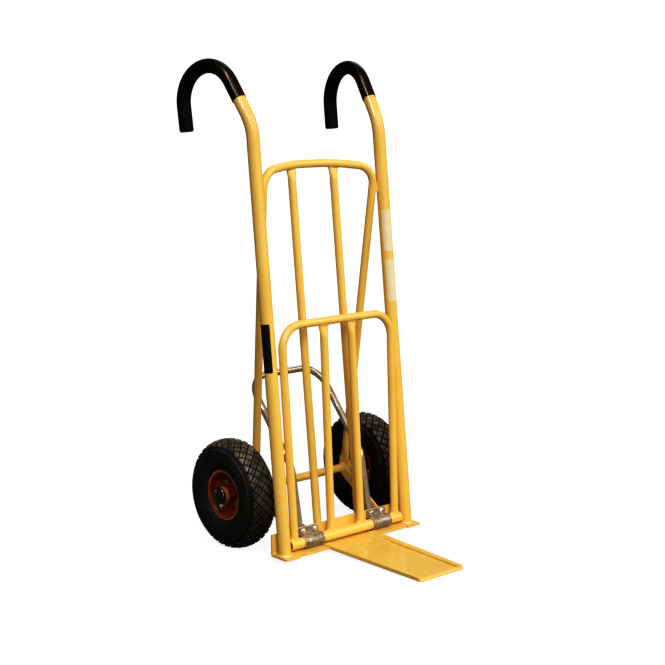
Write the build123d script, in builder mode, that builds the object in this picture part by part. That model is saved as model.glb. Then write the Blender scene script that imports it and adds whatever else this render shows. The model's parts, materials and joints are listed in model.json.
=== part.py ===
from build123d import *
import os
from math import asin, atan2, cos, degrees, radians, sin, sqrt, tan

os.makedirs("parts", exist_ok=True)

# Sack truck: X to the right, front (load side) towards -Y, Z up, floor at z = 0.

# Stiles and crook handles
stile_spacing = 386.0
stile_d = 30.0
stile_wall = 2.0
lean = 5.67
bend_z = 987.0
bend_r = 120.0
neck_rise = 33.7
neck_len = 114.3
splay = 8.92
crook_r = 81.6
crook_tuck = 7.06
crook_tail = 55.2
grip_wall = 1.7
grip_from = 67.6
grip_end_wall = 3.0
grip_end_taper = 30.0

# Base angle
base_z = 10.0
angle_t = 5.0
angle_leg = 50.5
angle_heel_r = 6.0
angle_root_r = 3.0
base_end_margin = 5.6
tab_inset = 42.0
tab_reach = 5.0
stile_flange_gap = 0.3

# Toe plate and its raised side strips
toe_reach = 313.8
toe_rear_half = 79.9
toe_front_half = 68.4
toe_t = 5.0
toe_nose_t = 2.5
toe_bevel = 7.0
toe_land = 16.0
toe_corner_r = 7.0
strip_h = 3.6
strip_rear_w = 20.6
strip_front_w = 13.4
doubler_t = 2.4
doubler_back = 16.0
doubler_reach = 88.0

# Thin frame tube used for the hoop, back bars and grid
tube_d = 19.0
tube_wall = 1.8
pinch_len = 36.0
pinch_flat = 12.0
pinch_w = 27.5
pinch_t = 7.5

# Back bars and back hoop
bar_inset = 43.2
bar_foot_drop = 20.0
hoop_drop = 93.0
hoop_side_drop = 13.0
hoop_tuck = 2.0
hoop_corner_r = 45.0
hoop_bow_r = 250.0
hoop_flat_w = 26.0
hoop_flat_t = 7.0
hoop_flat_len = 26.0
hoop_taper_len = 34.0
drain_d = 5.0
lug_h = 21.0
lug_drop = 155.0
lug_w = 13.0
lug_depth = 13.0

# Axle, lower braces and wheel retention
axle_d = 20.0
axle_back = 170.8
strut_inset = 51.3
eye_clear = 0.05
brace_t = 6.0
brace_w = 24.0
brace_eye_wall = 3.0
brace_foot_rise = 22.0
spacer_len = 28.2
spacer_wall = 4.0
washer_t = 2.5
washer_wall = 6.0
hub_end_gap = 0.3
cap_d = 41.0
cap_wall = 4.0
cap_grip = 6.0
cap_skirt = 4.0

# Wheels
tyre_d = 260.0
tyre_w = 82.0
tyre_shoulder_w = 73.0
tyre_crown_w = 56.0
tyre_crown_drop = 7.0
tyre_shoulder_drop = 18.0
tyre_wall = 8.0
tyre_tread_t = 9.0
tube_fit = 0.3
inner_tube_wall = 2.5
rim_d = 104.0
rim_flange_h = 7.0
rim_w = 58.0
rim_t = 2.0
rim_disc_d = 82.0
rim_dish_w = 14.0
bead_fit = 0.3
hub_len = 70.0
hub_wall = 4.0
hub_collar_h = 3.2
hub_collar_len = 8.0
bearing_wall = 3.0
bearing_len = 15.0
axle_clear = 0.05
press_fit = 0.02
rim_bolt_circle = 62.0
rim_bolt_d = 8.0
rim_bolt_head = 13.0
rim_bolt_head_h = 5.0
rim_bolt_count = 4
valve_d = 6.4
valve_len = 22.0
valve_turn = 215.0
valve_inset = 2.0

# Folding grid
pivot_d = 25.0
pivot_wall = 2.0
pivot_end_gap = 3.0
grid_h = 504.5
grid_lean = 3.1
grid_corner_r = 55.0
grid_foot_inset = 15.7
grid_bar_gap = 21.7
grid_bar_taper = 4.5
grid_rest_gap = 5.0

# Hinge straps and their bolts
strap_w = 58.0
strap_t = 3.0
strap_under_gap = 0.75
pivot_clear = 0.05
bolt_pitch = 35.8
nut_side_gap = 1.8
bolt_d = 6.0
bolt_clear = 0.2
bolt_head_w = 10.0
bolt_head_h = 4.0
bolt_tail = 3.0
nut_h = 5.0
bolt_above_loop = 7.2
bolt_edge = 7.5
ear_notch_top = 22.0
ear_notch_foot = 12.0
lip_low = 3.0
lip_h = 12.5

# Tilt hoop and its saddles
tilt_d = 17.0
tilt_wall = 1.8
tilt_out = 2.7
tilt_foot_rise = 20.0
tilt_seat_gap = 0.05
tilt_stand = 20.7
tilt_lean = 11.0
tilt_bend_z = 192.0
tilt_slope = 39.6
tilt_upper_len = 250.0
tilt_corner_r = 58.0
tilt_bend_r = 60.0
saddle_t = 2.5
saddle_web_w = 15.6
saddle_h = 11.0
saddle_ear = 6.0

# Derived positions
stile_r = stile_d / 2
stile_x = stile_spacing / 2
tube_r = tube_d / 2
grip_r = stile_r + grip_wall
lean_tan = tan(radians(lean))
lean_cos = cos(radians(lean))
crook_reach = (
    bend_z * lean_tan
    + (neck_len * sin(radians(neck_rise)) + crook_r * (1 + cos(radians(neck_rise))))
    * cos(radians(splay))
    + grip_r
)
foot_y = (toe_reach - crook_reach) / 2
base_top = base_z + angle_t
pivot_r = pivot_d / 2
loop_in = pivot_r + pivot_clear
loop_out = loop_in + strap_t
pivot_z = base_top + strap_under_gap + loop_out
bolt_z = pivot_z + loop_out + bolt_above_loop
flange_top = bolt_z + bolt_edge
flange_front = foot_y + flange_top * lean_tan + stile_r / lean_cos + stile_flange_gap
flange_rear = flange_front + angle_t
angle_front = flange_rear - angle_leg
pivot_y = flange_front - loop_out
base_half = stile_x + stile_r + base_end_margin
hoop_top_z = bend_z - hoop_drop
hoop_side_z = hoop_top_z - hoop_side_drop
hoop_x = stile_x - stile_r - tube_r + hoop_tuck
strut_x = stile_x - strut_inset
axle_r = axle_d / 2
axle_y = foot_y + axle_back
axle_z = tyre_d / 2
bearing_r = axle_r + axle_clear + bearing_wall
hub_r = bearing_r + press_fit + hub_wall
hub_inner_x = strut_x + hoop_flat_t / 2 + spacer_len + hub_end_gap
wheel_x = hub_inner_x + hub_len / 2
washer_x = wheel_x + hub_len / 2 + hub_end_gap
cap_x = washer_x + washer_t
axle_half = cap_x + cap_grip
pivot_half = stile_x - stile_r - pivot_end_gap
grid_foot_x = pivot_half - grid_foot_inset
grid_tan = tan(radians(grid_lean))
grid_top_z = pivot_z + grid_h
brace_in = strut_x - hoop_flat_t / 2 - brace_t
hinge_x = brace_in - nut_side_gap - bolt_head_w / 2 - bolt_pitch / 2
bar_x = hinge_x - bar_inset
grid_bar_foot_x = hinge_x - strap_w / 2 - grid_bar_gap - tube_r
grid_bar_top_x = grid_bar_foot_x - grid_bar_taper
tilt_r = tilt_d / 2
tilt_x = hinge_x + tilt_out
tilt_tan = tan(radians(tilt_lean))

SIDES = ((-1, "left"), (1, "right"))
UP = Vector(0, 0, 1)


def lean_y(z):
    return foot_y + z * lean_tan


def bar_y(z):
    return flange_rear + tube_r / lean_cos + (z - flange_top) * lean_tan


def grid_y(z):
    return pivot_y + (z - pivot_z) * grid_tan


def tilt_y(z):
    return flange_rear + tilt_stand + (z - bolt_z) * tilt_tan


def at_y(y):
    return Plane.XZ.offset(-y)


def write(piece, name):
    piece.label = name
    export_step(piece, "parts/" + name + ".step")


def bent_tube(points, radii, outer, inner):
    with BuildPart() as tube:
        with BuildLine():
            FilletPolyline(*points, radius=radii)
        with BuildSketch(Plane(origin=points[0], z_dir=points[1] - points[0])):
            Circle(outer)
            if inner > 0:
                Circle(inner, mode=Mode.SUBTRACT)
        sweep()
    return tube.part


def straight_tube(start, end, outer, inner):
    with BuildPart() as tube:
        with BuildSketch(Plane(origin=start, z_dir=end - start)):
            Circle(outer)
            if inner > 0:
                Circle(inner, mode=Mode.SUBTRACT)
        extrude(amount=(end - start).length)
    return tube.part


def pinched_tube(start, end):
    along = (end - start).normalized()
    pinch_at = end - along * pinch_len
    flat_at = end - along * pinch_flat
    with BuildPart() as tube:
        add(straight_tube(start, pinch_at, tube_r, tube_r - tube_wall))
        with BuildSketch(Plane(origin=pinch_at, x_dir=(1, 0, 0), z_dir=along)):
            Circle(tube_r)
        with BuildSketch(Plane(origin=flat_at, x_dir=(1, 0, 0), z_dir=along)):
            RectangleRounded(pinch_w, pinch_t, pinch_t / 2 - 0.2)
        loft()
        with BuildSketch(Plane(origin=flat_at, x_dir=(1, 0, 0), z_dir=along)):
            RectangleRounded(pinch_w, pinch_t, pinch_t / 2 - 0.2)
        extrude(amount=pinch_flat)
    return tube.part


def ring_on_axle(x_from, x_to, outer, inner):
    with BuildPart() as ring:
        with BuildSketch(Plane.YZ.offset(min(x_from, x_to))):
            with Locations((axle_y, axle_z)):
                Circle(outer)
                Circle(inner, mode=Mode.SUBTRACT)
        extrude(amount=abs(x_to - x_from))
    return ring.part


# Crook handle geometry, one side
class Crook:
    def __init__(self, side):
        reach = Vector(side * sin(radians(splay)), cos(radians(splay)), 0)
        rise = radians(neck_rise)
        self.bend = Vector(side * stile_x, lean_y(bend_z), bend_z)
        self.out = reach * sin(rise) + UP * cos(rise)
        self.start = self.bend + self.out * neck_len
        self.centre = self.start + (reach * cos(rise) - UP * sin(rise)) * crook_r
        self.reach = reach
        turn_end = radians(180 + crook_tuck)
        self.middle = self.on_arc((rise + turn_end) / 2)
        self.end = self.on_arc(turn_end)
        self.tip = self.end + (reach * sin(turn_end) + UP * cos(turn_end)) * crook_tail
        self.tail = (self.tip - self.end).normalized()

    def on_arc(self, turn):
        return self.centre + (UP * sin(turn) - self.reach * cos(turn)) * crook_r


# Stiles
for side, side_name in SIDES:
    crook = Crook(side)
    stile_start = Vector(side * stile_x, lean_y(base_z - stile_r), base_z - stile_r)
    with BuildPart() as stile:
        with BuildLine():
            FilletPolyline(stile_start, crook.bend, crook.start, radius=bend_r)
            ThreePointArc(crook.start, crook.middle, crook.end)
            Line(crook.end, crook.tip)
        with BuildSketch(Plane(origin=stile_start, z_dir=crook.bend - stile_start)):
            Circle(stile_r)
            Circle(stile_r - stile_wall, mode=Mode.SUBTRACT)
        sweep()
        split(bisect_by=Plane.XY.offset(base_top), keep=Keep.TOP)
    write(stile.part, side_name + "_stile")

# Hand grips, closed over the tube's end
for side, side_name in SIDES:
    crook = Crook(side)
    grip_start = crook.bend + crook.out * grip_from
    with BuildPart() as grip:
        with BuildLine():
            Line(grip_start, crook.start)
            ThreePointArc(crook.start, crook.middle, crook.end)
            Line(crook.end, crook.tip)
        with BuildSketch(Plane(origin=grip_start, z_dir=crook.out)):
            Circle(grip_r)
            Circle(stile_r + press_fit, mode=Mode.SUBTRACT)
        sweep()
        with BuildSketch(Plane(origin=crook.tip, z_dir=crook.tail)):
            Circle(grip_r)
        extrude(amount=grip_end_wall, taper=grip_end_taper)
    write(grip.part, side_name + "_grip")

# Base angle
with BuildPart() as base_angle:
    with BuildSketch(Plane.YZ):
        with BuildLine():
            FilletPolyline(
                (angle_front, base_z),
                (flange_rear, base_z),
                (flange_rear, flange_top),
                (flange_front, flange_top),
                (flange_front, base_top),
                (angle_front, base_top),
                radius=[angle_heel_r, 1.0, 1.0, angle_root_r],
            )
            Line((angle_front, base_top), (angle_front, base_z))
        make_face()
    extrude(amount=base_half, both=True)
    for side, side_name in SIDES:
        tab_mid = side * (base_half - tab_inset / 2)
        with BuildSketch(Plane.XY.offset(base_z)):
            with Locations((tab_mid, angle_front + tab_reach / 2)):
                RectangleRounded(tab_inset, 3 * tab_reach, 2.0)
        extrude(amount=angle_t)
        with BuildSketch(at_y(flange_rear + 1)):
            with Locations((side * hinge_x, bolt_z)):
                with GridLocations(bolt_pitch, 1, 2, 1):
                    Circle(bolt_d / 2 + bolt_clear)
        extrude(amount=angle_t + 2, mode=Mode.SUBTRACT)
write(base_angle.part, "base_angle")

# Toe plate, sloping from the base angle down to its nose
toe_front = foot_y - toe_reach
toe_slope = base_z / (angle_front - toe_front - toe_land)

with BuildPart() as toe_plate:
    with BuildSketch(Plane.YZ):
        with BuildLine():
            Polyline(
                (angle_front, base_z),
                (angle_front, base_top),
                (toe_front + toe_land, toe_t),
                (toe_front + toe_bevel, toe_t),
                (toe_front, toe_nose_t),
                (toe_front, 0),
                (toe_front + toe_land, 0),
                close=True,
            )
        make_face()
    extrude(amount=toe_rear_half, both=True)
    with BuildSketch():
        with BuildLine():
            Polyline(
                (-toe_rear_half, angle_front),
                (toe_rear_half, angle_front),
                (toe_front_half, toe_front),
                (-toe_front_half, toe_front),
                close=True,
            )
        make_face()
    extrude(amount=base_top, mode=Mode.INTERSECT)
    fillet(toe_plate.edges().filter_by(Axis.Z).sort_by(Axis.Y)[:2], toe_corner_r)
write(toe_plate.part, "toe_plate")

# Raised strips along the toe plate's long edges
strip_nose = toe_front + toe_bevel
edge_slope = (toe_rear_half - toe_front_half) / (angle_front - toe_front)
strip_nose_x = toe_front_half + edge_slope * toe_bevel
inner_rear_x = toe_rear_half - strip_rear_w
inner_nose_x = strip_nose_x - strip_front_w
for side, side_name in SIDES:
    with BuildPart() as strip:
        with BuildSketch(Plane.YZ):
            with BuildLine():
                Polyline(
                    (angle_front, base_top),
                    (angle_front, base_top + strip_h),
                    (toe_front + toe_land, toe_t + strip_h),
                    (strip_nose, toe_t + strip_h),
                    (strip_nose, toe_t),
                    (toe_front + toe_land, toe_t),
                    close=True,
                )
            make_face()
        extrude(amount=toe_rear_half, both=True)
        with BuildSketch():
            with BuildLine():
                Polyline(
                    (side * toe_rear_half, angle_front),
                    (side * strip_nose_x, strip_nose),
                    (side * inner_nose_x, strip_nose),
                    (side * inner_rear_x, angle_front),
                    close=True,
                )
            make_face()
        extrude(amount=base_top + strip_h, mode=Mode.INTERSECT)
        fillet(strip.edges().filter_by(Axis.Z).sort_by(Axis.Y)[:2], toe_corner_r / 2)
    write(strip.part, side_name + "_toe_strip")

# Doubler plate over the angle's leg and the rear of the toe plate, between the strips
doubler_rear = angle_front + doubler_back
doubler_front = foot_y - doubler_reach
doubler_front_z = base_top - (angle_front - doubler_front) * toe_slope
inner_slope = (inner_rear_x - inner_nose_x) / (angle_front - strip_nose)
doubler_front_x = inner_rear_x - (angle_front - doubler_front) * inner_slope
with BuildPart() as doubler:
    with BuildSketch(Plane.YZ):
        with BuildLine():
            Polyline(
                (doubler_rear, base_top),
                (doubler_rear, base_top + doubler_t),
                (angle_front, base_top + doubler_t),
                (doubler_front, doubler_front_z + doubler_t),
                (doubler_front, doubler_front_z),
                (angle_front, base_top),
                close=True,
            )
        make_face()
    extrude(amount=toe_rear_half, both=True)
    with BuildSketch():
        with BuildLine():
            Polyline(
                (inner_rear_x, doubler_rear),
                (inner_rear_x, angle_front),
                (doubler_front_x, doubler_front),
                (-doubler_front_x, doubler_front),
                (-inner_rear_x, angle_front),
                (-inner_rear_x, doubler_rear),
                close=True,
            )
        make_face()
    extrude(amount=base_top + doubler_t, mode=Mode.INTERSECT)
write(doubler.part, "toe_doubler")

# Back hoop: bowed top bar, legs running down to flattened eyes on the axle
eye_centre = {}
leg_dir = {}
hoop_points = []
for side, side_name in SIDES:
    eye = Vector(side * strut_x, axle_y, axle_z)
    shoulder = Vector(side * hoop_x, lean_y(hoop_side_z), hoop_side_z)
    crown = Vector(side * bar_x, bar_y(hoop_top_z), hoop_top_z)
    eye_centre[side] = eye
    leg_dir[side] = (shoulder - eye).normalized()
    leg_start = eye + leg_dir[side] * (hoop_flat_len + hoop_taper_len)
    half = [leg_start, shoulder, crown]
    hoop_points += half if side < 0 else half[::-1]
hoop_radii = [hoop_corner_r, hoop_bow_r, hoop_bow_r, hoop_corner_r]
hoop_core = bent_tube(hoop_points, hoop_radii, tube_r, 0)

with BuildPart() as back_hoop:
    add(bent_tube(hoop_points, hoop_radii, tube_r, tube_r - tube_wall))
    for side, side_name in SIDES:
        eye = eye_centre[side]
        taper_top = eye + leg_dir[side] * (hoop_flat_len + hoop_taper_len)
        taper_foot = eye + leg_dir[side] * hoop_flat_len
        with BuildSketch(Plane(origin=taper_top, x_dir=(1, 0, 0), z_dir=leg_dir[side])):
            Circle(tube_r)
        with BuildSketch(Plane(origin=taper_foot, x_dir=(1, 0, 0), z_dir=leg_dir[side])):
            RectangleRounded(hoop_flat_t, hoop_flat_w, hoop_flat_t / 2 - 0.2)
        loft()
        flat_turn = degrees(atan2(leg_dir[side].Z, leg_dir[side].Y))
        with BuildSketch(Plane.YZ.offset(side * strut_x)):
            with Locations(Location((axle_y, axle_z, 0), (0, 0, flat_turn))):
                Circle(hoop_flat_w / 2)
                Rectangle(hoop_flat_len + 2, hoop_flat_w, align=(Align.MIN, Align.CENTER))
        extrude(amount=hoop_flat_t / 2, both=True)
        with BuildSketch(Plane.YZ.offset(side * strut_x)):
            with Locations((axle_y, axle_z)):
                Circle(axle_r + eye_clear)
        extrude(amount=hoop_flat_t, both=True, mode=Mode.SUBTRACT)
        drain_at = taper_top + leg_dir[side] * (2 * tube_d)
        with BuildSketch(Plane(origin=drain_at, z_dir=(-side, 0, 0))):
            Circle(drain_d / 2)
        extrude(amount=tube_d, mode=Mode.SUBTRACT)
write(back_hoop.part, "back_hoop")

# Back bars, flat against the flange below, pinched and coped to the hoop above
for side, side_name in SIDES:
    bar_foot_z = flange_top - bar_foot_drop
    bar_foot = Vector(side * bar_x, bar_y(bar_foot_z), bar_foot_z)
    bar_top = Vector(side * bar_x, bar_y(hoop_top_z), hoop_top_z)
    with BuildPart() as back_bar:
        add(pinched_tube(bar_foot, bar_top))
        split(bisect_by=Plane(origin=(0, flange_rear, 0), z_dir=(0, 1, 0)), keep=Keep.TOP)
        add(hoop_core, mode=Mode.SUBTRACT)
    write(back_bar.part, side_name + "_back_bar")

# Lugs between hoop leg and stile
for side, side_name in SIDES:
    lug_z = bend_z - lug_drop
    stile_low = Vector(side * stile_x, lean_y(lug_z - lug_h), lug_z - lug_h)
    stile_high = Vector(side * stile_x, lean_y(lug_z + lug_h), lug_z + lug_h)
    leg_at = eye_centre[side] + leg_dir[side] * ((lug_z - axle_z) / leg_dir[side].Z)
    stile_at = Vector(side * stile_x, lean_y(lug_z), lug_z)
    toward = (leg_at - stile_at).normalized()
    lug_mid = stile_at + toward * (((leg_at - stile_at).length + stile_r - tube_r) / 2)
    with BuildPart() as lug:
        with BuildSketch(Plane(origin=lug_mid, x_dir=toward, z_dir=(0, 0, 1))):
            Rectangle(lug_depth, lug_w)
        extrude(amount=lug_h / 2, both=True)
        add(straight_tube(stile_low, stile_high, stile_r, 0), mode=Mode.SUBTRACT)
        add(hoop_core, mode=Mode.SUBTRACT)
    write(lug.part, side_name + "_hoop_lug")

# Axle
with BuildPart() as axle:
    with BuildSketch(Plane.YZ):
        with Locations((axle_y, axle_z)):
            Circle(axle_r)
    extrude(amount=axle_half, both=True)
    chamfer(axle.edges().filter_by(GeomType.CIRCLE), 0.8)
write(axle.part, "axle")

# Lower braces: flat bars on edge, eyed on the axle and ending on the flange
for side, side_name in SIDES:
    brace_foot = Vector(flange_rear, base_z + brace_foot_rise)
    brace_eye = Vector(axle_y, axle_z)
    brace_dir = brace_foot - brace_eye
    brace_turn = degrees(atan2(brace_dir.Y, brace_dir.X))
    with BuildPart() as brace:
        with BuildSketch(Plane.YZ.offset(brace_in if side > 0 else -brace_in - brace_t)):
            with Locations(Location((axle_y, axle_z, 0), (0, 0, brace_turn))):
                Circle(axle_r + brace_eye_wall)
                Rectangle(brace_dir.length + brace_w, brace_w, align=(Align.MIN, Align.CENTER))
                Circle(axle_r + eye_clear, mode=Mode.SUBTRACT)
            with Locations((flange_rear, base_z)):
                Rectangle(4 * brace_w, 8 * brace_w, align=(Align.MAX, Align.CENTER), mode=Mode.SUBTRACT)
        extrude(amount=brace_t)
    write(brace.part, side_name + "_lower_brace")

# Spacers and washers that hold the hubs, and the end caps
with BuildPart() as spacers:
    for side, side_name in SIDES:
        spacer_from = side * (strut_x + hoop_flat_t / 2)
        spacer_to = side * (hub_inner_x - hub_end_gap)
        add(ring_on_axle(spacer_from, spacer_to, axle_r + spacer_wall, axle_r + press_fit))
write(spacers.part, "axle_spacers")

with BuildPart() as washers:
    for side, side_name in SIDES:
        add(ring_on_axle(side * washer_x, side * cap_x, axle_r + washer_wall, axle_r + press_fit))
write(washers.part, "axle_washers")

for side, side_name in SIDES:
    cap_plane = Plane(origin=(side * cap_x, axle_y, axle_z), x_dir=(side, 0, 0), z_dir=(0, -side, 0))
    cap_r = cap_d / 2
    cap_len = cap_grip + cap_wall
    dome_h = cap_len - cap_skirt
    dome_r = (cap_r**2 + dome_h**2) / (2 * dome_h)
    dome_turn = asin(cap_r / dome_r) / 2
    dome_mid = (cap_len - dome_r * (1 - cos(dome_turn)), dome_r * sin(dome_turn))
    with BuildPart() as cap:
        with BuildSketch(cap_plane):
            with BuildLine():
                Polyline((0, 0), (0, cap_r), (cap_skirt, cap_r))
                ThreePointArc((cap_skirt, cap_r), dome_mid, (cap_len, 0))
                Line((cap_len, 0), (0, 0))
            make_face()
        revolve(axis=Axis((0, axle_y, axle_z), (1, 0, 0)))
        with BuildSketch(Plane.YZ.offset(side * cap_x)):
            with Locations((axle_y, axle_z)):
                Circle(axle_r + press_fit)
        extrude(amount=side * cap_grip, mode=Mode.SUBTRACT)
    write(cap.part, side_name + "_axle_cap")

# Wheels
tyre_r = tyre_d / 2
tyre_half = tyre_w / 2
rim_r = rim_d / 2
rim_half = rim_w / 2
bead_r = rim_r + bead_fit
cavity_top = tyre_r - tyre_tread_t
cavity_low = rim_r + 2 * tube_fit
cavity_mid = (cavity_top + cavity_low) / 2
cavity_rise = (cavity_top - cavity_low) / 2
cavity_half = tyre_half - tyre_wall
bead_gap_half = cavity_half / 2
bead_out = rim_half - rim_t - bead_fit
flange_clear_r = rim_r + rim_flange_h + bead_fit
shoulder_r = tyre_r - tyre_shoulder_drop
crown_r = tyre_r - tyre_crown_drop
crown_half = tyre_crown_w / 2
axle_line = Axis((0, axle_y, axle_z), (1, 0, 0))


for side, side_name in SIDES:
    wheel_at = (side * wheel_x, axle_y, axle_z)
    section = Plane(origin=wheel_at, x_dir=(side, 0, 0), z_dir=(0, -side, 0))
    face = Plane(origin=wheel_at, x_dir=(0, side, 0), z_dir=(side, 0, 0))
    turn = radians(valve_turn)
    valve_dir = Vector(0, side * cos(turn), sin(turn))
    valve_foot = Vector(*wheel_at) + Vector(side * (rim_dish_w - valve_inset), 0, 0)
    valve_base = Plane(origin=valve_foot, z_dir=valve_dir)

    with BuildPart() as tyre:
        with BuildSketch(section):
            with BuildLine():
                Line((-bead_out, bead_r), (bead_out, bead_r))
                for flank in (1, -1):
                    Polyline(
                        (flank * bead_out, bead_r),
                        (flank * bead_out, flange_clear_r),
                        (flank * (rim_half + 2), flange_clear_r + 1),
                    )
                    ThreePointArc(
                        (flank * (rim_half + 2), flange_clear_r + 1),
                        (flank * tyre_half, cavity_mid),
                        (flank * tyre_shoulder_w / 2, shoulder_r),
                    )
                    Line((flank * tyre_shoulder_w / 2, shoulder_r), (flank * crown_half, crown_r))
                ThreePointArc((-crown_half, crown_r), (0, tyre_r), (crown_half, crown_r))
            make_face()
            with Locations((0, cavity_mid)):
                Ellipse(cavity_half, cavity_rise, mode=Mode.SUBTRACT)
            with Locations((0, bead_r)):
                Rectangle(2 * bead_gap_half, cavity_rise, mode=Mode.SUBTRACT)
        revolve(axis=axle_line)
    write(tyre.part, side_name + "_tyre")

    with BuildPart() as inner_tube:
        with BuildSketch(section):
            with Locations((0, cavity_mid)):
                Ellipse(cavity_half - tube_fit, cavity_rise - tube_fit)
                Ellipse(
                    cavity_half - tube_fit - inner_tube_wall,
                    cavity_rise - tube_fit - inner_tube_wall,
                    mode=Mode.SUBTRACT,
                )
        revolve(axis=axle_line)
        with BuildSketch(valve_base):
            Circle(valve_d / 2 + press_fit)
        extrude(amount=cavity_mid, mode=Mode.SUBTRACT)
    write(inner_tube.part, side_name + "_inner_tube")

    for flank, rim_name in ((1, "_outer_rim"), (-1, "_inner_rim")):
        with BuildPart() as rim:
            with BuildSketch(section):
                with BuildLine():
                    FilletPolyline(
                        (flank * rim_t / 2, hub_r + press_fit),
                        (flank * rim_t / 2, rim_disc_d / 2),
                        (flank * rim_dish_w, rim_r - rim_t / 2),
                        (flank * (rim_half - rim_t / 2), rim_r - rim_t / 2),
                        (flank * (rim_half - rim_t / 2), rim_r + rim_flange_h),
                        radius=[3.0, 4.0, 2.0],
                    )
                trace(line_width=rim_t)
            revolve(axis=axle_line)
            with BuildSketch(face):
                with PolarLocations(rim_bolt_circle / 2, rim_bolt_count, 45):
                    Circle(rim_bolt_d / 2 + bolt_clear)
            extrude(amount=rim_dish_w, both=True, mode=Mode.SUBTRACT)
            if flank > 0:
                with BuildSketch(valve_base):
                    Circle(valve_d / 2 + bolt_clear)
                extrude(amount=cavity_mid, mode=Mode.SUBTRACT)
        write(rim.part, side_name + rim_name)

    hub_from = side * (wheel_x - hub_len / 2)
    hub_to = side * (wheel_x + hub_len / 2)
    with BuildPart() as hub:
        add(ring_on_axle(hub_from, hub_to, hub_r, bearing_r + press_fit))
        collar_from = hub_to - side * hub_collar_len
        add(ring_on_axle(collar_from, hub_to, hub_r + hub_collar_h, bearing_r + press_fit))
    write(hub.part, side_name + "_hub")

    with BuildPart() as bearings:
        add(ring_on_axle(hub_from, hub_from + side * bearing_len, bearing_r, axle_r + axle_clear))
        add(ring_on_axle(hub_to, hub_to - side * bearing_len, bearing_r, axle_r + axle_clear))
    write(bearings.part, side_name + "_bearings")

    nut_face = -rim_t
    with BuildPart() as rim_bolts:
        with BuildSketch(face.offset(rim_t)):
            with PolarLocations(rim_bolt_circle / 2, rim_bolt_count, 45):
                RegularPolygon(rim_bolt_head / 2, 6, major_radius=False)
        extrude(amount=rim_bolt_head_h)
        with BuildSketch(face.offset(rim_t)):
            with PolarLocations(rim_bolt_circle / 2, rim_bolt_count, 45):
                Circle(rim_bolt_d / 2)
        extrude(amount=-(2 * rim_t + rim_bolt_head_h + bolt_tail))
    write(rim_bolts.part, side_name + "_rim_bolts")

    with BuildPart() as rim_nuts:
        with BuildSketch(face.offset(nut_face)):
            with PolarLocations(rim_bolt_circle / 2, rim_bolt_count, 45):
                RegularPolygon(rim_bolt_head / 2, 6, major_radius=False)
                Circle(rim_bolt_d / 2 + press_fit, mode=Mode.SUBTRACT)
        extrude(amount=-rim_bolt_head_h)
    write(rim_nuts.part, side_name + "_rim_nuts")

    valve_top = cavity_low + 2 * inner_tube_wall
    with BuildPart() as valve:
        with BuildSketch(valve_base.offset(valve_top - valve_len)):
            Circle(valve_d / 2)
        extrude(amount=valve_len)
    write(valve.part, side_name + "_valve")

# Folding grid
with BuildPart() as pivot_tube:
    with BuildSketch(Plane.YZ):
        with Locations((pivot_y, pivot_z)):
            Circle(pivot_r)
            Circle(pivot_r - pivot_wall, mode=Mode.SUBTRACT)
    extrude(amount=pivot_half, both=True)
write(pivot_tube.part, "pivot_tube")

with BuildPart() as pivot_core:
    with BuildSketch(Plane.YZ):
        with Locations((pivot_y, pivot_z)):
            Circle(pivot_r)
    extrude(amount=pivot_half, both=True)

# The grid's legs lean back and stop just short of the stiles
wedge_z = grid_top_z - grid_corner_r
wedge_dy = (lean_y(wedge_z) - grid_y(wedge_z)) * lean_cos
wedge_dx = sqrt((stile_r + tube_r + grid_rest_gap) ** 2 - wedge_dy**2)
grid_spread = (stile_x - wedge_dx - grid_foot_x) / (wedge_z - pivot_z)
grid_top_x = grid_foot_x + grid_spread * grid_h

grid_points = []
for side, side_name in SIDES:
    grid_foot = Vector(side * grid_foot_x, pivot_y, pivot_z)
    grid_corner = Vector(side * grid_top_x, grid_y(grid_top_z), grid_top_z)
    half = [grid_foot, grid_corner]
    grid_points += half if side < 0 else half[::-1]
grid_core = bent_tube(grid_points, grid_corner_r, tube_r, 0)
with BuildPart() as grid_hoop:
    add(bent_tube(grid_points, grid_corner_r, tube_r, tube_r - tube_wall))
    add(pivot_core.part, mode=Mode.SUBTRACT)
write(grid_hoop.part, "grid_hoop")

for side, side_name in SIDES:
    rod_foot = Vector(side * grid_bar_foot_x, pivot_y, pivot_z)
    rod_top = Vector(side * grid_bar_top_x, grid_y(grid_top_z), grid_top_z)
    with BuildPart() as grid_bar:
        add(pinched_tube(rod_foot, rod_top))
        add(pivot_core.part, mode=Mode.SUBTRACT)
        add(grid_core, mode=Mode.SUBTRACT)
    write(grid_bar.part, side_name + "_grid_bar")

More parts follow.
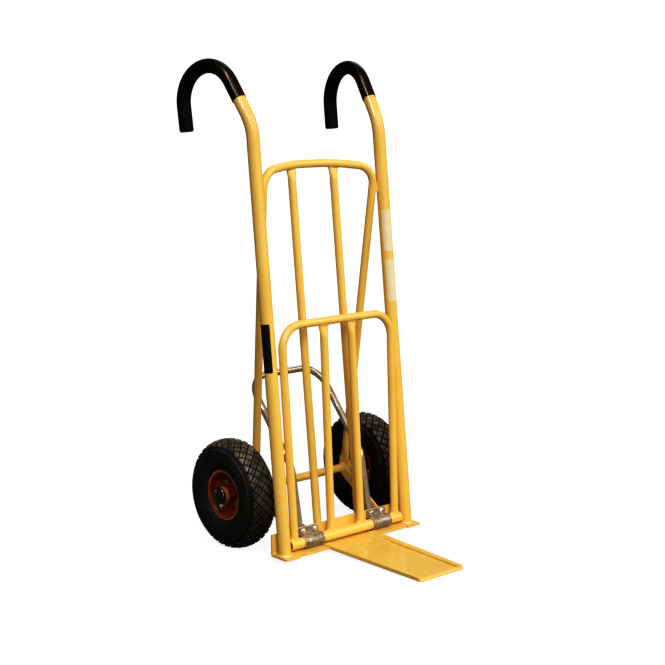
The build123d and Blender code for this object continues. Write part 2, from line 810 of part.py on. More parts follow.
# Hinge straps: loop under, in front of and over the pivot tube, then a lip with two ears
lip_front = flange_front - 2 * strap_t
notch_z = pivot_z + loop_out + lip_low
for side, side_name in SIDES:
    with BuildPart() as strap:
        with BuildSketch(Plane.YZ.offset(side * hinge_x)):
            with Locations((pivot_y, pivot_z)):
                Circle(loop_out)
                Rectangle(2 * loop_out, 2 * loop_out, align=Align.MIN, mode=Mode.SUBTRACT)
            with Locations((flange_front - strap_t, pivot_z)):
                Rectangle(strap_t, flange_top - pivot_z, align=Align.MIN)
            with Locations((pivot_y, pivot_z + loop_in)):
                Rectangle(flange_front - strap_t - pivot_y, strap_t, align=Align.MIN)
            with Locations((lip_front, pivot_z + loop_in)):
                Rectangle(strap_t, strap_t + lip_h, align=Align.MIN)
            with Locations((pivot_y, pivot_z)):
                Circle(loop_in, mode=Mode.SUBTRACT)
        extrude(amount=strap_w / 2, both=True)
        with BuildSketch(at_y(flange_front - strap_t)):
            with BuildLine():
                Polyline(
                    (side * hinge_x - ear_notch_foot / 2, notch_z),
                    (side * hinge_x + ear_notch_foot / 2, notch_z),
                    (side * hinge_x + ear_notch_top / 2, notch_z + lip_h),
                    (side * hinge_x - ear_notch_top / 2, notch_z + lip_h),
                    close=True,
                )
            make_face()
        extrude(amount=strap_t + 1, mode=Mode.SUBTRACT)
        with BuildSketch(at_y(flange_front + 1)):
            with Locations((side * hinge_x, bolt_z)):
                with GridLocations(bolt_pitch, 1, 2, 1):
                    Circle(bolt_d / 2 + bolt_clear)
        extrude(amount=2 * strap_t + 2, mode=Mode.SUBTRACT)
    write(strap.part, side_name + "_hinge_strap")

# Tilt hoop, its legs leaning back from the saddles behind the flange
tilt_points = []
tilt_top_y = tilt_y(tilt_bend_z) + tilt_upper_len * sin(radians(tilt_slope))
tilt_top_z = tilt_bend_z + tilt_upper_len * cos(radians(tilt_slope))
tilt_foot_z = base_z + tilt_foot_rise
for side, side_name in SIDES:
    half = [
        Vector(side * tilt_x, tilt_y(tilt_foot_z), tilt_foot_z),
        Vector(side * tilt_x, tilt_y(tilt_bend_z), tilt_bend_z),
        Vector(side * tilt_x, tilt_top_y, tilt_top_z),
    ]
    tilt_points += half if side < 0 else half[::-1]
tilt_radii = [tilt_bend_r, tilt_corner_r, tilt_corner_r, tilt_bend_r]
tilt_hoop = bent_tube(tilt_points, tilt_radii, tilt_r, tilt_r - tilt_wall)
write(tilt_hoop, "tilt_hoop")

# Saddles: a foot plate on the flange, a web and a ring round the leaning leg
saddle_in = tilt_r + tilt_seat_gap
saddle_out = saddle_in + saddle_t
saddle_half = bolt_pitch / 2 + saddle_ear
for side, side_name in SIDES:
    bore_low = bolt_z - saddle_h
    bore_high = bolt_z + saddle_h
    bore_foot = Vector(side * tilt_x, tilt_y(bore_low), bore_low)
    bore_head = Vector(side * tilt_x, tilt_y(bore_high), bore_high)
    with BuildPart() as saddle:
        with BuildSketch(Plane.XY.offset(bolt_z - saddle_h / 2)):
            with Locations((side * hinge_x, flange_rear)):
                Rectangle(2 * saddle_half, saddle_t, align=(Align.CENTER, Align.MIN))
            with Locations((side * tilt_x, flange_rear)):
                Rectangle(saddle_web_w, tilt_stand, align=(Align.CENTER, Align.MIN))
            with Locations((side * tilt_x, tilt_y(bolt_z))):
                Circle(saddle_out)
        extrude(amount=saddle_h)
        add(straight_tube(bore_foot, bore_head, saddle_in, 0), mode=Mode.SUBTRACT)
        with BuildSketch(at_y(flange_rear + saddle_t + 1)):
            with Locations((side * hinge_x, bolt_z)):
                with GridLocations(bolt_pitch, 1, 2, 1):
                    Circle(bolt_d / 2 + bolt_clear)
        extrude(amount=saddle_t + 2, mode=Mode.SUBTRACT)
    write(saddle.part, side_name + "_tilt_saddle")

# Bolts through strap, flange and saddle
bolt_len = 2 * strap_t + angle_t + saddle_t + nut_h + bolt_tail
with BuildPart() as hinge_bolts:
    for side, side_name in SIDES:
        with BuildSketch(at_y(lip_front)):
            with Locations((side * hinge_x, bolt_z)):
                with GridLocations(bolt_pitch, 1, 2, 1):
                    RegularPolygon(bolt_head_w / 2, 6, major_radius=False, rotation=30)
        extrude(amount=bolt_head_h)
        with BuildSketch(at_y(lip_front)):
            with Locations((side * hinge_x, bolt_z)):
                with GridLocations(bolt_pitch, 1, 2, 1):
                    Circle(bolt_d / 2)
        extrude(amount=-bolt_len)
write(hinge_bolts.part, "hinge_bolts")

with BuildPart() as hinge_nuts:
    for side, side_name in SIDES:
        with BuildSketch(at_y(flange_rear + saddle_t)):
            with Locations((side * hinge_x, bolt_z)):
                with GridLocations(bolt_pitch, 1, 2, 1):
                    RegularPolygon(bolt_head_w / 2, 6, major_radius=False, rotation=30)
                    Circle(bolt_d / 2 + press_fit, mode=Mode.SUBTRACT)
        extrude(amount=-nut_h)
write(hinge_nuts.part, "hinge_nuts")
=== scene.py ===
"""Sack truck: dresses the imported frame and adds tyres, fasteners, valves, caps, welds, films and plates."""

import json
import logging
import math
import random
from contextlib import contextmanager
from dataclasses import dataclass, field
from enum import Enum
from typing import Any, Callable, Iterator, Sequence

import bmesh
import bpy
from mathutils import Matrix, Vector

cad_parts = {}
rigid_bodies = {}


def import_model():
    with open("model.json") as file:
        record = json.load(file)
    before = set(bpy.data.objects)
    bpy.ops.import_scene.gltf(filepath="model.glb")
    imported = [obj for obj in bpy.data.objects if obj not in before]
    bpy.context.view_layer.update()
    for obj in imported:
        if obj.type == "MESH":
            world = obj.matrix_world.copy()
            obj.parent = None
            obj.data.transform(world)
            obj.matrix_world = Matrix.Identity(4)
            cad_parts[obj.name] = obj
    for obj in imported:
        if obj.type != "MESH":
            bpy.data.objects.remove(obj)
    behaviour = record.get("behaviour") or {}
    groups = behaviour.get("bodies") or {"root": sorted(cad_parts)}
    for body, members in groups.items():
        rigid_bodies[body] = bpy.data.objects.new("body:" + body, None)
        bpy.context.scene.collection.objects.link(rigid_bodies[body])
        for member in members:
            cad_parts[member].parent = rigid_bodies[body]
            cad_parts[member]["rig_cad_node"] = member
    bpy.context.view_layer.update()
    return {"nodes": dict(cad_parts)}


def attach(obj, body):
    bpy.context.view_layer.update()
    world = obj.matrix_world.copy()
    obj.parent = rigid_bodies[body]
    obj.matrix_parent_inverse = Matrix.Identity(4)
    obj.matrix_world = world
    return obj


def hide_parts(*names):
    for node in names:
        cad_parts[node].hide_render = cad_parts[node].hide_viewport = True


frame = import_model()
LOG = logging.getLogger("sack_truck")
MM = 0.001
SIDES = ((-1, "left"), (1, "right"))
AXLE = (165.187 * MM, 130 * MM)
STILE_X = 193 * MM
STILE_FOOT_Y = -5.6125 * MM
STILE_LEAN = math.radians(5.67)
SQUARE_ON = 0.9
ORIGIN = Vector((0, 0, 0))
Colour = tuple[float, float, float]
Pair = tuple[float, float]
Piece = bpy.types.Object
Socket = bpy.types.NodeSocket


class Body(Enum):
    """CAD bodies that the pieces ride on."""

    FRAME = "frame"
    GRID = "folding_grid"
    LEFT_WHEEL = "left_wheel"
    RIGHT_WHEEL = "right_wheel"


class Slot(Enum):
    """The record's material slots that the new pieces take."""

    PAINT = "frame_paint"
    TYRE = "tyre_rubber"
    ZINC = "zinc_steel"
    CAP = "cap_plastic"


class Pick(Enum):
    """What a selection in edit mode is made of."""

    VERTS = (True, False, False)
    EDGES = (False, True, False)
    FACES = (False, False, True)


class Share(Enum):
    """What is kept of a tread block on the two sides of its sipe."""

    WHOLE = 0
    MAIN = 1
    SLIVER = 2


class Lamp(Enum):
    """Kinds of studio lamp."""

    SUN = "SUN"
    BOX = "AREA"
    SNOOT = "SPOT"


class Graph:
    """Shader nodes of one finish, added and joined step by step."""

    patch: Pair = (0.3, 0.7)
    flat: float = 0.985
    sharp: float = 0.86

    def __init__(self, name: str) -> None:
        """Start from a principled shader.

        Args:
            name: the material's name.
        """
        self.material = bpy.data.materials.new(name)
        self.material.use_nodes = True
        self.tree = self.material.node_tree
        self.shader = self.tree.nodes["Principled BSDF"]
        self.place = self.wire("ShaderNodeTexCoord", {}, "Object")

    def feed(self, node: bpy.types.Node, socket: str | int, value: Any) -> None:
        """Join a socket to an input, or set the input's constant.

        Args:
            node: the node that receives.
            socket: name or index of its input.
            value: an output socket or a constant.
        """
        target = node.inputs[socket]
        if isinstance(value, Socket):
            self.tree.links.new(value, target)
        elif isinstance(value, tuple) and len(value) == 3 and target.type == "RGBA":
            target.default_value = (*value, 1.0)
        else:
            target.default_value = value

    def wire(self, kind: str, inputs: dict[str | int, Any], output: str | int, **settings: Any) -> Socket:
        """Add a node and feed it.

        Args:
            kind: the node's type name.
            inputs: a socket or a constant for each input that is set.
            output: name or index of the output that is wanted.
            settings: properties to set on the node.

        Returns:
            The output socket.
        """
        node = self.tree.nodes.new(kind)
        for key, value in settings.items():
            setattr(node, key, value)
        for socket, value in inputs.items():
            self.feed(node, socket, value)
        return node.outputs[output]

    def mapped(self, scale: Sequence[float], location: Sequence[float] = (0, 0, 0)) -> Socket:
        """Object coordinates, stretched and then shifted."""
        inputs = {"Vector": self.place, "Scale": scale, "Location": location}
        return self.wire("ShaderNodeMapping", inputs, "Vector")

    def height(self) -> Socket:
        """Height above the floor in metres."""
        return self.wire("ShaderNodeSeparateXYZ", {0: self.place}, "Z")

    def noise(
        self, scale: float, detail: float = 2.0, rough: float = 0.5, at: Socket | None = None
    ) -> Socket:
        """Fractal noise with so many cells per metre, on object coordinates if no others are given."""
        inputs = {"Vector": at or self.place, "Scale": scale, "Detail": detail, "Roughness": rough}
        return self.wire("ShaderNodeTexNoise", inputs, "Fac")

    def span(self, value: Any, low: float, high: float, to_low: float = 0.0, to_high: float = 1.0) -> Socket:
        """Carry the range from low to high to another range, held at its ends."""
        inputs = {"Value": value, "From Min": low, "From Max": high, "To Min": to_low, "To Max": to_high}
        return self.wire("ShaderNodeMapRange", inputs, "Result")

    def uneven(
        self, scale: float, low: float, high: float, detail: float = 3.0, rough: float = 0.5
    ) -> Socket:
        """A value that wanders between low and high in patches, so many to the metre."""
        return self.span(self.noise(scale, detail, rough), *self.patch, low, high)

    def math(self, operation: str, first: Any, second: Any) -> Socket:
        """One sum on two values, by Blender's name for it."""
        return self.wire("ShaderNodeMath", {0: first, 1: second}, "Value", operation=operation)

    def mix(self, factor: Any, first: Any, second: Any) -> Socket:
        """Mix two colours; a factor of 0 gives the first."""
        return self.wire("ShaderNodeMix", {0: factor, 6: first, 7: second}, 2, data_type="RGBA")

    def bump(self, height: Any, strength: float, distance: float, normal: Socket | None = None) -> Socket:
        """Bump from a height.

        Args:
            height: the height socket.
            strength: how much of it shows.
            distance: height of a full step in metres.
            normal: normal socket that the bump starts from.

        Returns:
            The normal socket.
        """
        inputs = {"Strength": strength, "Distance": distance, "Height": height}
        if normal is not None:
            inputs["Normal"] = normal
        return self.wire("ShaderNodeBump", inputs, "Normal")

    def edges(self, radius: float) -> tuple[Socket, Socket]:
        """Find sharp edges.

        Args:
            radius: reach of the search in metres.

        Returns:
            A mask socket that is 1 on edges, and the rounded normal socket.
        """
        rounded = self.wire("ShaderNodeBevel", {"Radius": radius}, "Normal", samples=4)
        plain = self.wire("ShaderNodeNewGeometry", {}, "Normal")
        dot = self.wire("ShaderNodeVectorMath", {0: rounded, 1: plain}, "Value", operation="DOT_PRODUCT")
        return self.span(dot, self.flat, self.sharp), rounded

    def axle_distance(self, centre: Pair) -> Socket:
        """Distance in metres from the wheels' axis, which is given by its y and z."""
        spoke = self.mapped((0, 1, 1), (0, -centre[0], -centre[1]))
        return self.wire("ShaderNodeVectorMath", {0: spoke}, "Value", operation="LENGTH")

    def finish(self, **sockets: Any) -> bpy.types.Material:
        """Set the shader's inputs.

        Args:
            sockets: input names with spaces written as underscores.

        Returns:
            The finished material.
        """
        for name, value in sockets.items():
            self.feed(self.shader, name.replace("_", " "), value)
        return self.material


class Finish:
    """A finish whose material is made once and shared."""

    made: dict[str, bpy.types.Material] = {}

    @property
    def name(self) -> str:
        """Material name of this finish."""
        return type(self).__name__

    def build(self) -> bpy.types.Material:
        """Make the material; each finish has its own."""
        raise NotImplementedError

    def material(self) -> bpy.types.Material:
        """The material, made on first use.

        Returns:
            The shared material.
        """
        if self.name not in Finish.made:
            Finish.made[self.name] = self.build()
        return Finish.made[self.name]

    def dress(self, *pieces: Piece) -> None:
        """Put this finish on pieces.

        Args:
            pieces: objects whose slots all take the material.
        """
        for piece in pieces:
            if not piece.material_slots:
                piece.data.materials.append(self.material())
            for held in piece.material_slots:
                held.material = self.material()


@dataclass(frozen=True)
class FramePaint(Finish):
    """Golden yellow enamel on steel: slight orange peel, thin edges, small chips and a little floor grime."""

    bright: Colour = (0.81, 0.497, 0.099)
    deep: Colour = (0.78, 0.447, 0.081)
    chip: Colour = (0.20, 0.13, 0.06)
    grime: Colour = (0.40, 0.22, 0.05)
    grime_top: float = 60 * MM
    edge: float = 0.9 * MM
    peel: float = 0.25 * MM
    shine: float = 0.25
    coat: float = 0.34
    coat_rough: float = 0.055

    def build(self) -> bpy.types.Material:
        """Make the paint.

        Returns:
            The material.
        """
        g = Graph(self.name)
        tone = g.mix(g.span(g.noise(7.0, 3.0), 0.35, 0.68), self.bright, self.deep)
        thin, rounded = g.edges(self.edge)
        chips = g.math("MULTIPLY", thin, g.span(g.noise(260.0, 3.0, 0.7), 0.61, 0.67))
        specks = g.span(g.noise(520.0, 1.0), 0.785, 0.81, 0.0, 0.5)
        near_floor = g.span(g.height(), self.grime_top, 0.0)
        dirt = g.math("MULTIPLY", near_floor, g.span(g.noise(38.0, 4.0, 0.65), 0.50, 0.78, 0.0, 0.18))
        colour = g.mix(dirt, tone, self.grime)
        colour = g.mix(g.math("MAXIMUM", chips, specks), colour, self.chip)
        return g.finish(
            Base_Color=colour,
            Roughness=g.uneven(60.0, 0.42, 0.56, rough=0.6),
            Normal=g.bump(g.noise(640.0), 0.10, self.peel, rounded),
            Specular_IOR_Level=self.shine,
            Coat_Weight=self.coat,
            Coat_Roughness=self.coat_rough,
        )


@dataclass(frozen=True)
class GripRubber(Finish):
    """Soft black sleeve with a fine grain and a faint bloom."""

    black: Colour = (0.0042, 0.0035, 0.0030)
    bloom: Colour = (0.0120, 0.0098, 0.0078)
    sheen: Colour = (1.0, 0.80, 0.54)
    shine: float = 0.09
    grain: float = 0.10 * MM

    def build(self) -> bpy.types.Material:
        """Make the sleeve's rubber.

        Returns:
            The material.
        """
        g = Graph(self.name)
        return g.finish(
            Base_Color=g.mix(g.span(g.noise(26.0, 4.0, 0.6), 0.45, 0.80), self.black, self.bloom),
            Roughness=g.uneven(90.0, 0.22, 0.31),
            Normal=g.bump(g.noise(1900.0), 0.015, self.grain),
            Specular_IOR_Level=self.shine,
            Specular_Tint=self.sheen,
        )


@dataclass(frozen=True)
class TyreRubber(Finish):
    """Black rubber of walls and grooves with patches of dusting through a height ramp: on the walls the ramp
    covers everything, on the tread tops and rib it makes them lighter higher up the wheel, a painted top
    light; edges are lightened as edge wear and painted highlight.
    """

    black: Colour = (0.0050, 0.0042, 0.0036)
    grey: Colour = (0.0140, 0.0118, 0.0092)
    # Colour of the lightened edges: edge wear and a painted highlight.
    wear_and_highlight: Colour = (0.0240, 0.0200, 0.0150)
    shine: float = 0.10
    rough: Pair = (0.66, 0.84)
    dust_and_light_from: float = -2.0
    dust_and_light_full: float = -1.0
    edge: float = 0.8 * MM
    grain: float = 0.2 * MM

    def build(self) -> bpy.types.Material:
        """Make the rubber.

        Returns:
            The material.
        """
        g = Graph(self.name)
        # Height ramp: on the walls it spans everything and only spreads patches of dusting; on the tread tops
        # and rib it lightens them higher up the wheel, a painted top light.
        height_ramp = g.span(g.height(), self.dust_and_light_from, self.dust_and_light_full)
        dust_and_top_light = g.math("MULTIPLY", height_ramp, g.span(g.noise(34.0, 5.0, 0.65), 0.40, 0.74))
        thin, rounded = g.edges(self.edge)
        # Edges lightened towards the edge colour: edge wear and a painted highlight on the block edges.
        rub_and_highlight = g.math("MULTIPLY", thin, g.span(g.noise(150.0, 3.0), 0.35, 0.6))
        return g.finish(
            Base_Color=g.mix(rub_and_highlight, g.mix(dust_and_top_light, self.black, self.grey), self.wear_and_highlight),
            Roughness=g.uneven(120.0, *self.rough),
            Normal=g.bump(g.noise(1100.0, 3.0, 0.6), 0.22, self.grain, rounded),
            Specular_IOR_Level=self.shine,
        )


@dataclass(frozen=True)
class TreadRubber(TyreRubber):
    """Rubber on the tops of the tread blocks: tan with dusting, and lighter higher up the wheel as painted
    top light.
    """

    black: Colour = (0.014, 0.0098, 0.0058)
    grey: Colour = (0.255, 0.180, 0.101)
    wear_and_highlight: Colour = (0.200, 0.146, 0.086)
    shine: float = 0.26
    rough: Pair = (0.40, 0.56)
    # Heights over which the tops turn tan: a painted top light, lighter higher up the wheel.
    dust_and_light_from: float = 95 * MM
    dust_and_light_full: float = 215 * MM


@dataclass(frozen=True)
class SheenRibRubber(TreadRubber):
    """Rubber of the thin rib round the wall, lighter than the wall as a painted sheen line, and lighter
    higher up the wheel as painted top light.
    """

    grey: Colour = (0.090, 0.066, 0.040)
    wear_and_highlight: Colour = (0.110, 0.082, 0.050)


@dataclass(frozen=True)
class RimPaint(Finish):
    """Dark red rim enamel with a band round the outer lip painted orange, a painted highlight broken up by
    patches of wear.
    """

    red: Colour = (0.170, 0.0170, 0.0075)
    dark: Colour = (0.080, 0.0080, 0.0038)
    rub_and_highlight: Colour = (0.46, 0.150, 0.026)
    highlight_band_from: float = 54.5 * MM
    highlight_band_full: float = 57.5 * MM
    centre: Pair = AXLE
    edge: float = 0.6 * MM
    peel: float = 0.2 * MM
    shine: float = 0.22

    def build(self) -> bpy.types.Material:
        """Make the rim enamel.

        Returns:
            The material.
        """
        g = Graph(self.name)
        tone = g.mix(g.span(g.noise(55.0, 4.0, 0.6), 0.36, 0.66), self.red, self.dark)
        wear_and_highlight = g.span(g.noise(140.0, 3.0, 0.6), 0.30, 0.62, 0.25, 1.0)
        # Orange band by distance from the axle: a painted highlight on the lip (on the collar for the hub),
        # broken up by wear patches.
        band = g.span(g.axle_distance(self.centre), self.highlight_band_from, self.highlight_band_full)
        _, rounded = g.edges(self.edge)
        return g.finish(
            Base_Color=g.mix(g.math("MULTIPLY", band, wear_and_highlight), tone, self.rub_and_highlight),
            Roughness=g.uneven(80.0, 0.34, 0.50),
            Normal=g.bump(g.noise(700.0), 0.10, self.peel, rounded),
            Specular_IOR_Level=self.shine,
        )


@dataclass(frozen=True)
class HubPaint(RimPaint):
    """The same enamel on the hub, with the orange band as a painted highlight round its collar."""

    rub_and_highlight: Colour = (0.36, 0.135, 0.022)
    highlight_band_from: float = 18.2 * MM
    highlight_band_full: float = 19.4 * MM


@dataclass(frozen=True)
class ZincPlate(Finish):
    """Zinc plated steel, brushed across its width, with dull patches and edges painted near white as a
    painted highlight.
    """

    light: Colour = (0.42, 0.340, 0.235)
    dull: Colour = (0.195, 0.150, 0.097)
    # Near-white colour of the edges: a painted highlight.
    bright: Colour = (0.92, 0.82, 0.64)
    brush: Sequence[float] = (480.0, 30.0, 30.0)
    rough: Pair = (0.38, 0.52)
    metal: float = 0.72
    edge: float = 0.5 * MM
    mark: float = 0.2 * MM

    def build(self) -> bpy.types.Material:
        """Make the plating.

        Returns:
            The material.
        """
        g = Graph(self.name)
        lines = g.noise(1.0, 2.0, 0.6, g.mapped(self.brush))
        patches = g.noise(85.0, 4.0, 0.65)
        tone = g.mix(g.span(patches, 0.38, 0.66), self.light, self.dull)
        tone = g.mix(g.span(lines, 0.50, 0.66, 0.0, 0.6), tone, self.dull)
        thin, rounded = g.edges(self.edge)
        patchy = g.span(patches, *g.patch, *self.rough)
        return g.finish(
            # Edges mixed towards the near-white colour: a painted highlight along every edge, also on bolts,
            # nuts and washers.
            Base_Color=g.mix(g.math("MULTIPLY", thin, 0.8), tone, self.bright),
            Roughness=g.math("ADD", patchy, g.span(lines, *g.patch, 0.0, 0.12)),
            Normal=g.bump(lines, 0.07, self.mark, rounded),
            Metallic=self.metal,
        )


@dataclass(frozen=True)
class BoltZinc(ZincPlate):
    """Brighter plating of bolts, nuts and washers."""

    light: Colour = (0.90, 0.80, 0.64)
    dull: Colour = (0.62, 0.53, 0.39)
    brush: Sequence[float] = (400.0, 400.0, 400.0)
    rough: Pair = (0.20, 0.36)
    metal: float = 1.0


@dataclass(frozen=True)
class PaintedGlintWeld(ZincPlate):
    """Pale, nearly bare steel colour of a bead that stands in for a glint: a painted glint."""

    light: Colour = (0.86, 0.72, 0.45)
    dull: Colour = (0.80, 0.58, 0.24)
    brush: Sequence[float] = (300.0, 300.0, 300.0)
    rough: Pair = (0.26, 0.40)
    metal: float = 0.25


@dataclass(frozen=True)
class RimBoltZinc(BoltZinc):
    """Darker, duller plating of the rim bolts."""

    light: Colour = (0.52, 0.42, 0.30)
    dull: Colour = (0.20, 0.12, 0.075)


@dataclass(frozen=True)
class GalvanisedTube(Finish):
    """Dull galvanised tube with a soft spangle and scuffed streaks along it."""

    light: Colour = (0.60, 0.505, 0.370)
    dark: Colour = (0.46, 0.385, 0.275)
    spangle: float = 150.0
    streak: Sequence[float] = (500.0, 500.0, 30.0)
    metal: float = 0.68
    mark: float = 0.2 * MM

    def build(self) -> bpy.types.Material:
        """Make the galvanising.

        Returns:
            The material.
        """
        g = Graph(self.name)
        where = {"Vector": g.place, "Scale": self.spangle}
        cells = g.wire("ShaderNodeTexVoronoi", where, "Color", feature="F1")
        tone = g.wire("ShaderNodeSeparateColor", {0: cells}, "Red")
        streaks = g.noise(1.0, 3.0, 0.6, g.mapped(self.streak))
        blend = g.math("ADD", g.math("MULTIPLY", tone, 0.35), g.math("MULTIPLY", streaks, 0.75))
        return g.finish(
            Base_Color=g.mix(g.span(blend, 0.30, 0.80), self.dark, self.light),
            Roughness=g.span(streaks, *g.patch, 0.17, 0.25),
            Normal=g.bump(streaks, 0.03, self.mark),
            Metallic=self.metal,
        )


@dataclass(frozen=True)
class CapPlastic(Finish):
    """Glossy black moulded plastic with light scuffs."""

    black: Colour = (0.0065, 0.0060, 0.0058)
    scuff: Colour = (0.030, 0.027, 0.024)
    stroke: Sequence[float] = (90.0, 420.0, 900.0)
    grain: float = 0.1 * MM

    def build(self) -> bpy.types.Material:
        """Make the plastic.

        Returns:
            The material.
        """
        g = Graph(self.name)
        scuffs = g.span(g.noise(1.0, 3.0, 0.7, g.mapped(self.stroke)), 0.62, 0.72, 0.0, 0.7)
        return g.finish(
            Base_Color=g.mix(scuffs, self.black, self.scuff),
            Roughness=g.math("ADD", g.uneven(150.0, 0.11, 0.20, 2.0), g.math("MULTIPLY", scuffs, 0.2)),
            Normal=g.bump(g.noise(900.0), 0.05, self.grain),
        )


@dataclass(frozen=True)
class StuckFilm(Finish):
    """Thin plain film, a little scuffed, with edges that have caught dirt."""

    tone: str
    ground: Colour
    faded: Colour
    scuff: Colour
    stroke: Sequence[float] = (420.0, 420.0, 110.0)
    edge: float = 0.5 * MM
    grain: float = 0.2 * MM
    shine: float = 0.2

    @property
    def name(self) -> str:
        """Material name of this film."""
        return self.tone + "_film"

    def build(self) -> bpy.types.Material:
        """Make the film.

        Returns:
            The material.
        """
        g = Graph(self.name)
        colour = g.mix(g.span(g.noise(60.0, 4.0, 0.6), 0.40, 0.75), self.ground, self.faded)
        rub_and_highlight = g.span(g.noise(1.0, 4.0, 0.7, g.mapped(self.stroke)), 0.62, 0.74, 0.0, 0.6)
        thin, rounded = g.edges(self.edge)
        return g.finish(
            Base_Color=g.mix(g.math("MAXIMUM", rub_and_highlight, g.math("MULTIPLY", thin, 0.5)), colour, self.scuff),
            Roughness=g.uneven(130.0, 0.30, 0.46),
            Normal=g.bump(g.noise(420.0), 0.08, self.grain, rounded),
            Specular_IOR_Level=self.shine,
        )


@dataclass(frozen=True)
class FloorPaper(Finish):
    """Pale matte floor, lit from within for the eye and dimmer in what it throws back."""

    white: Colour = (0.24, 0.24, 0.24)
    shaded: float = 0.97
    thrown: Colour = (0.16, 0.15, 0.14)
    glow: float = 0.86

    def build(self) -> bpy.types.Material:
        """Make the floor.

        Returns:
            The material.
        """
        g = Graph(self.name)
        seen = g.wire("ShaderNodeLightPath", {}, "Is Camera Ray")
        paper = g.mix(g.noise(3.0), self.white, tuple(self.shaded * part for part in self.white))
        return g.finish(
            Base_Color=g.mix(seen, self.thrown, paper),
            Roughness=0.9,
            Specular_IOR_Level=0.0,
            Emission_Color=(1.0, 1.0, 1.0),
            Emission_Strength=g.math("MULTIPLY", seen, self.glow),
        )


class Bench:
    """Modelling steps on the selected piece, as they are done by hand."""

    same_spot: float = 0.002 * MM

    @staticmethod
    def clear() -> None:
        """Go to object mode with nothing selected."""
        if bpy.context.mode != "OBJECT":
            bpy.ops.object.mode_set(mode="OBJECT")
        bpy.ops.object.select_all(action="DESELECT")

    @staticmethod
    def take(*pieces: Piece) -> None:
        """Select pieces, the last one active.

        Args:
            pieces: objects to select.
        """
        Bench.clear()
        for piece in pieces:
            piece.select_set(True)
        bpy.context.view_layer.objects.active = pieces[-1]

    @staticmethod
    @contextmanager
    def editing(piece: Piece) -> Iterator[None]:
        """Edit mode on one piece.

        Args:
            piece: the object to edit.
        """
        Bench.take(piece)
        bpy.ops.object.mode_set(mode="EDIT")
        yield
        bpy.ops.object.mode_set(mode="OBJECT")

    @staticmethod
    def whole() -> None:
        """Select all of the edited mesh."""
        bpy.ops.mesh.select_all(action="SELECT")

    @staticmethod
    def pick(kind: Pick, test: Callable[[Any], bool]) -> None:
        """Select elements of the edited mesh by a test on each.

        Args:
            kind: verts, edges or faces.
            test: says whether an element is taken.
        """
        bpy.context.tool_settings.mesh_select_mode = kind.value
        mesh = bmesh.from_edit_mesh(bpy.context.edit_object.data)
        groups = {Pick.VERTS: mesh.verts, Pick.EDGES: mesh.edges, Pick.FACES: mesh.faces}
        for group in groups.values():
            for part in group:
                part.select_set(False)
        for part in [part for part in groups[kind] if test(part)]:
            part.select_set(True)
        mesh.select_flush_mode()
        bmesh.update_edit_mesh(bpy.context.edit_object.data)

    @staticmethod
    def shift(x: float, y: float, z: float) -> None:
        """Move what is selected in the edited mesh."""
        bpy.ops.transform.translate(value=(x, y, z))

    @staticmethod
    def extrude(x: float, y: float, z: float) -> None:
        """Extrude what is selected in the edited mesh."""
        bpy.ops.mesh.extrude_region_move(TRANSFORM_OT_translate={"value": (x, y, z)})

    @staticmethod
    def weld_up() -> None:
        """Merge doubles of the edited mesh and turn its faces outwards."""
        Bench.whole()
        bpy.ops.mesh.remove_doubles(threshold=Bench.same_spot)
        bpy.ops.mesh.normals_make_consistent(inside=False)

    @staticmethod
    def apply(piece: Piece, kind: str, **settings: Any) -> None:
        """Add a modifier and apply it.

        Args:
            piece: the object.
            kind: the modifier's type name.
            settings: its properties.
        """
        Bench.take(piece)
        modifier = piece.modifiers.new(kind.title(), kind)
        for key, value in settings.items():
            setattr(modifier, key, value)
        bpy.ops.object.modifier_apply(modifier=modifier.name)

    @staticmethod
    def settle(piece: Piece, place: Matrix) -> None:
        """Put a piece in place and apply that to its mesh.

        Args:
            piece: the object, modelled at the origin.
            place: where it goes.
        """
        Bench.take(piece)
        piece.matrix_world = place
        bpy.ops.object.transform_apply(location=True, rotation=True, scale=True)

    @staticmethod
    def turned(sides: int, radii: Pair, low: float, high: float) -> Piece:
        """Add a cylinder or a cone that stands along +Z.

        Args:
            sides: number of its sides.
            radii: radius of its foot and of its top.
            low: z of its foot.
            high: z of its top.

        Returns:
            The new piece, with its place in its mesh.
        """
        Bench.clear()
        size = {"vertices": sides, "depth": high - low, "location": (0, 0, (low + high) / 2)}
        if radii[0] == radii[1]:
            bpy.ops.mesh.primitive_cylinder_add(radius=radii[0], **size)
        else:
            bpy.ops.mesh.primitive_cone_add(radius1=radii[0], radius2=radii[1], **size)
        piece = bpy.context.object
        Bench.settle(piece, piece.matrix_world.copy())
        return piece

    @staticmethod
    def plane(size: float) -> Piece:
        """Add a square on the floor.

        Args:
            size: length of its sides.

        Returns:
            The new piece.
        """
        Bench.clear()
        bpy.ops.mesh.primitive_plane_add(size=size, location=(0, 0, 0))
        return bpy.context.object

    @staticmethod
    def copy(piece: Piece) -> Piece:
        """Copy a piece with its mesh.

        Args:
            piece: the object to copy.

        Returns:
            The copy.
        """
        Bench.take(piece)
        bpy.ops.object.duplicate(linked=False)
        return bpy.context.object

    @staticmethod
    def join(pieces: Sequence[Piece], name: str) -> Piece:
        """Join pieces into one.

        Args:
            pieces: objects to join; they become one.
            name: name of the result.

        Returns:
            The joined object.
        """
        Bench.take(*pieces)
        if len(pieces) > 1:
            bpy.ops.object.join()
        joined = bpy.context.object
        joined.name = joined.data.name = name
        return joined

    @staticmethod
    def smooth(piece: Piece, angle: float) -> None:
        """Shade a piece smooth where its faces meet below an angle in degrees."""
        Bench.take(piece)
        bpy.ops.object.shade_smooth_by_angle(angle=math.radians(angle), keep_sharp_edges=False)


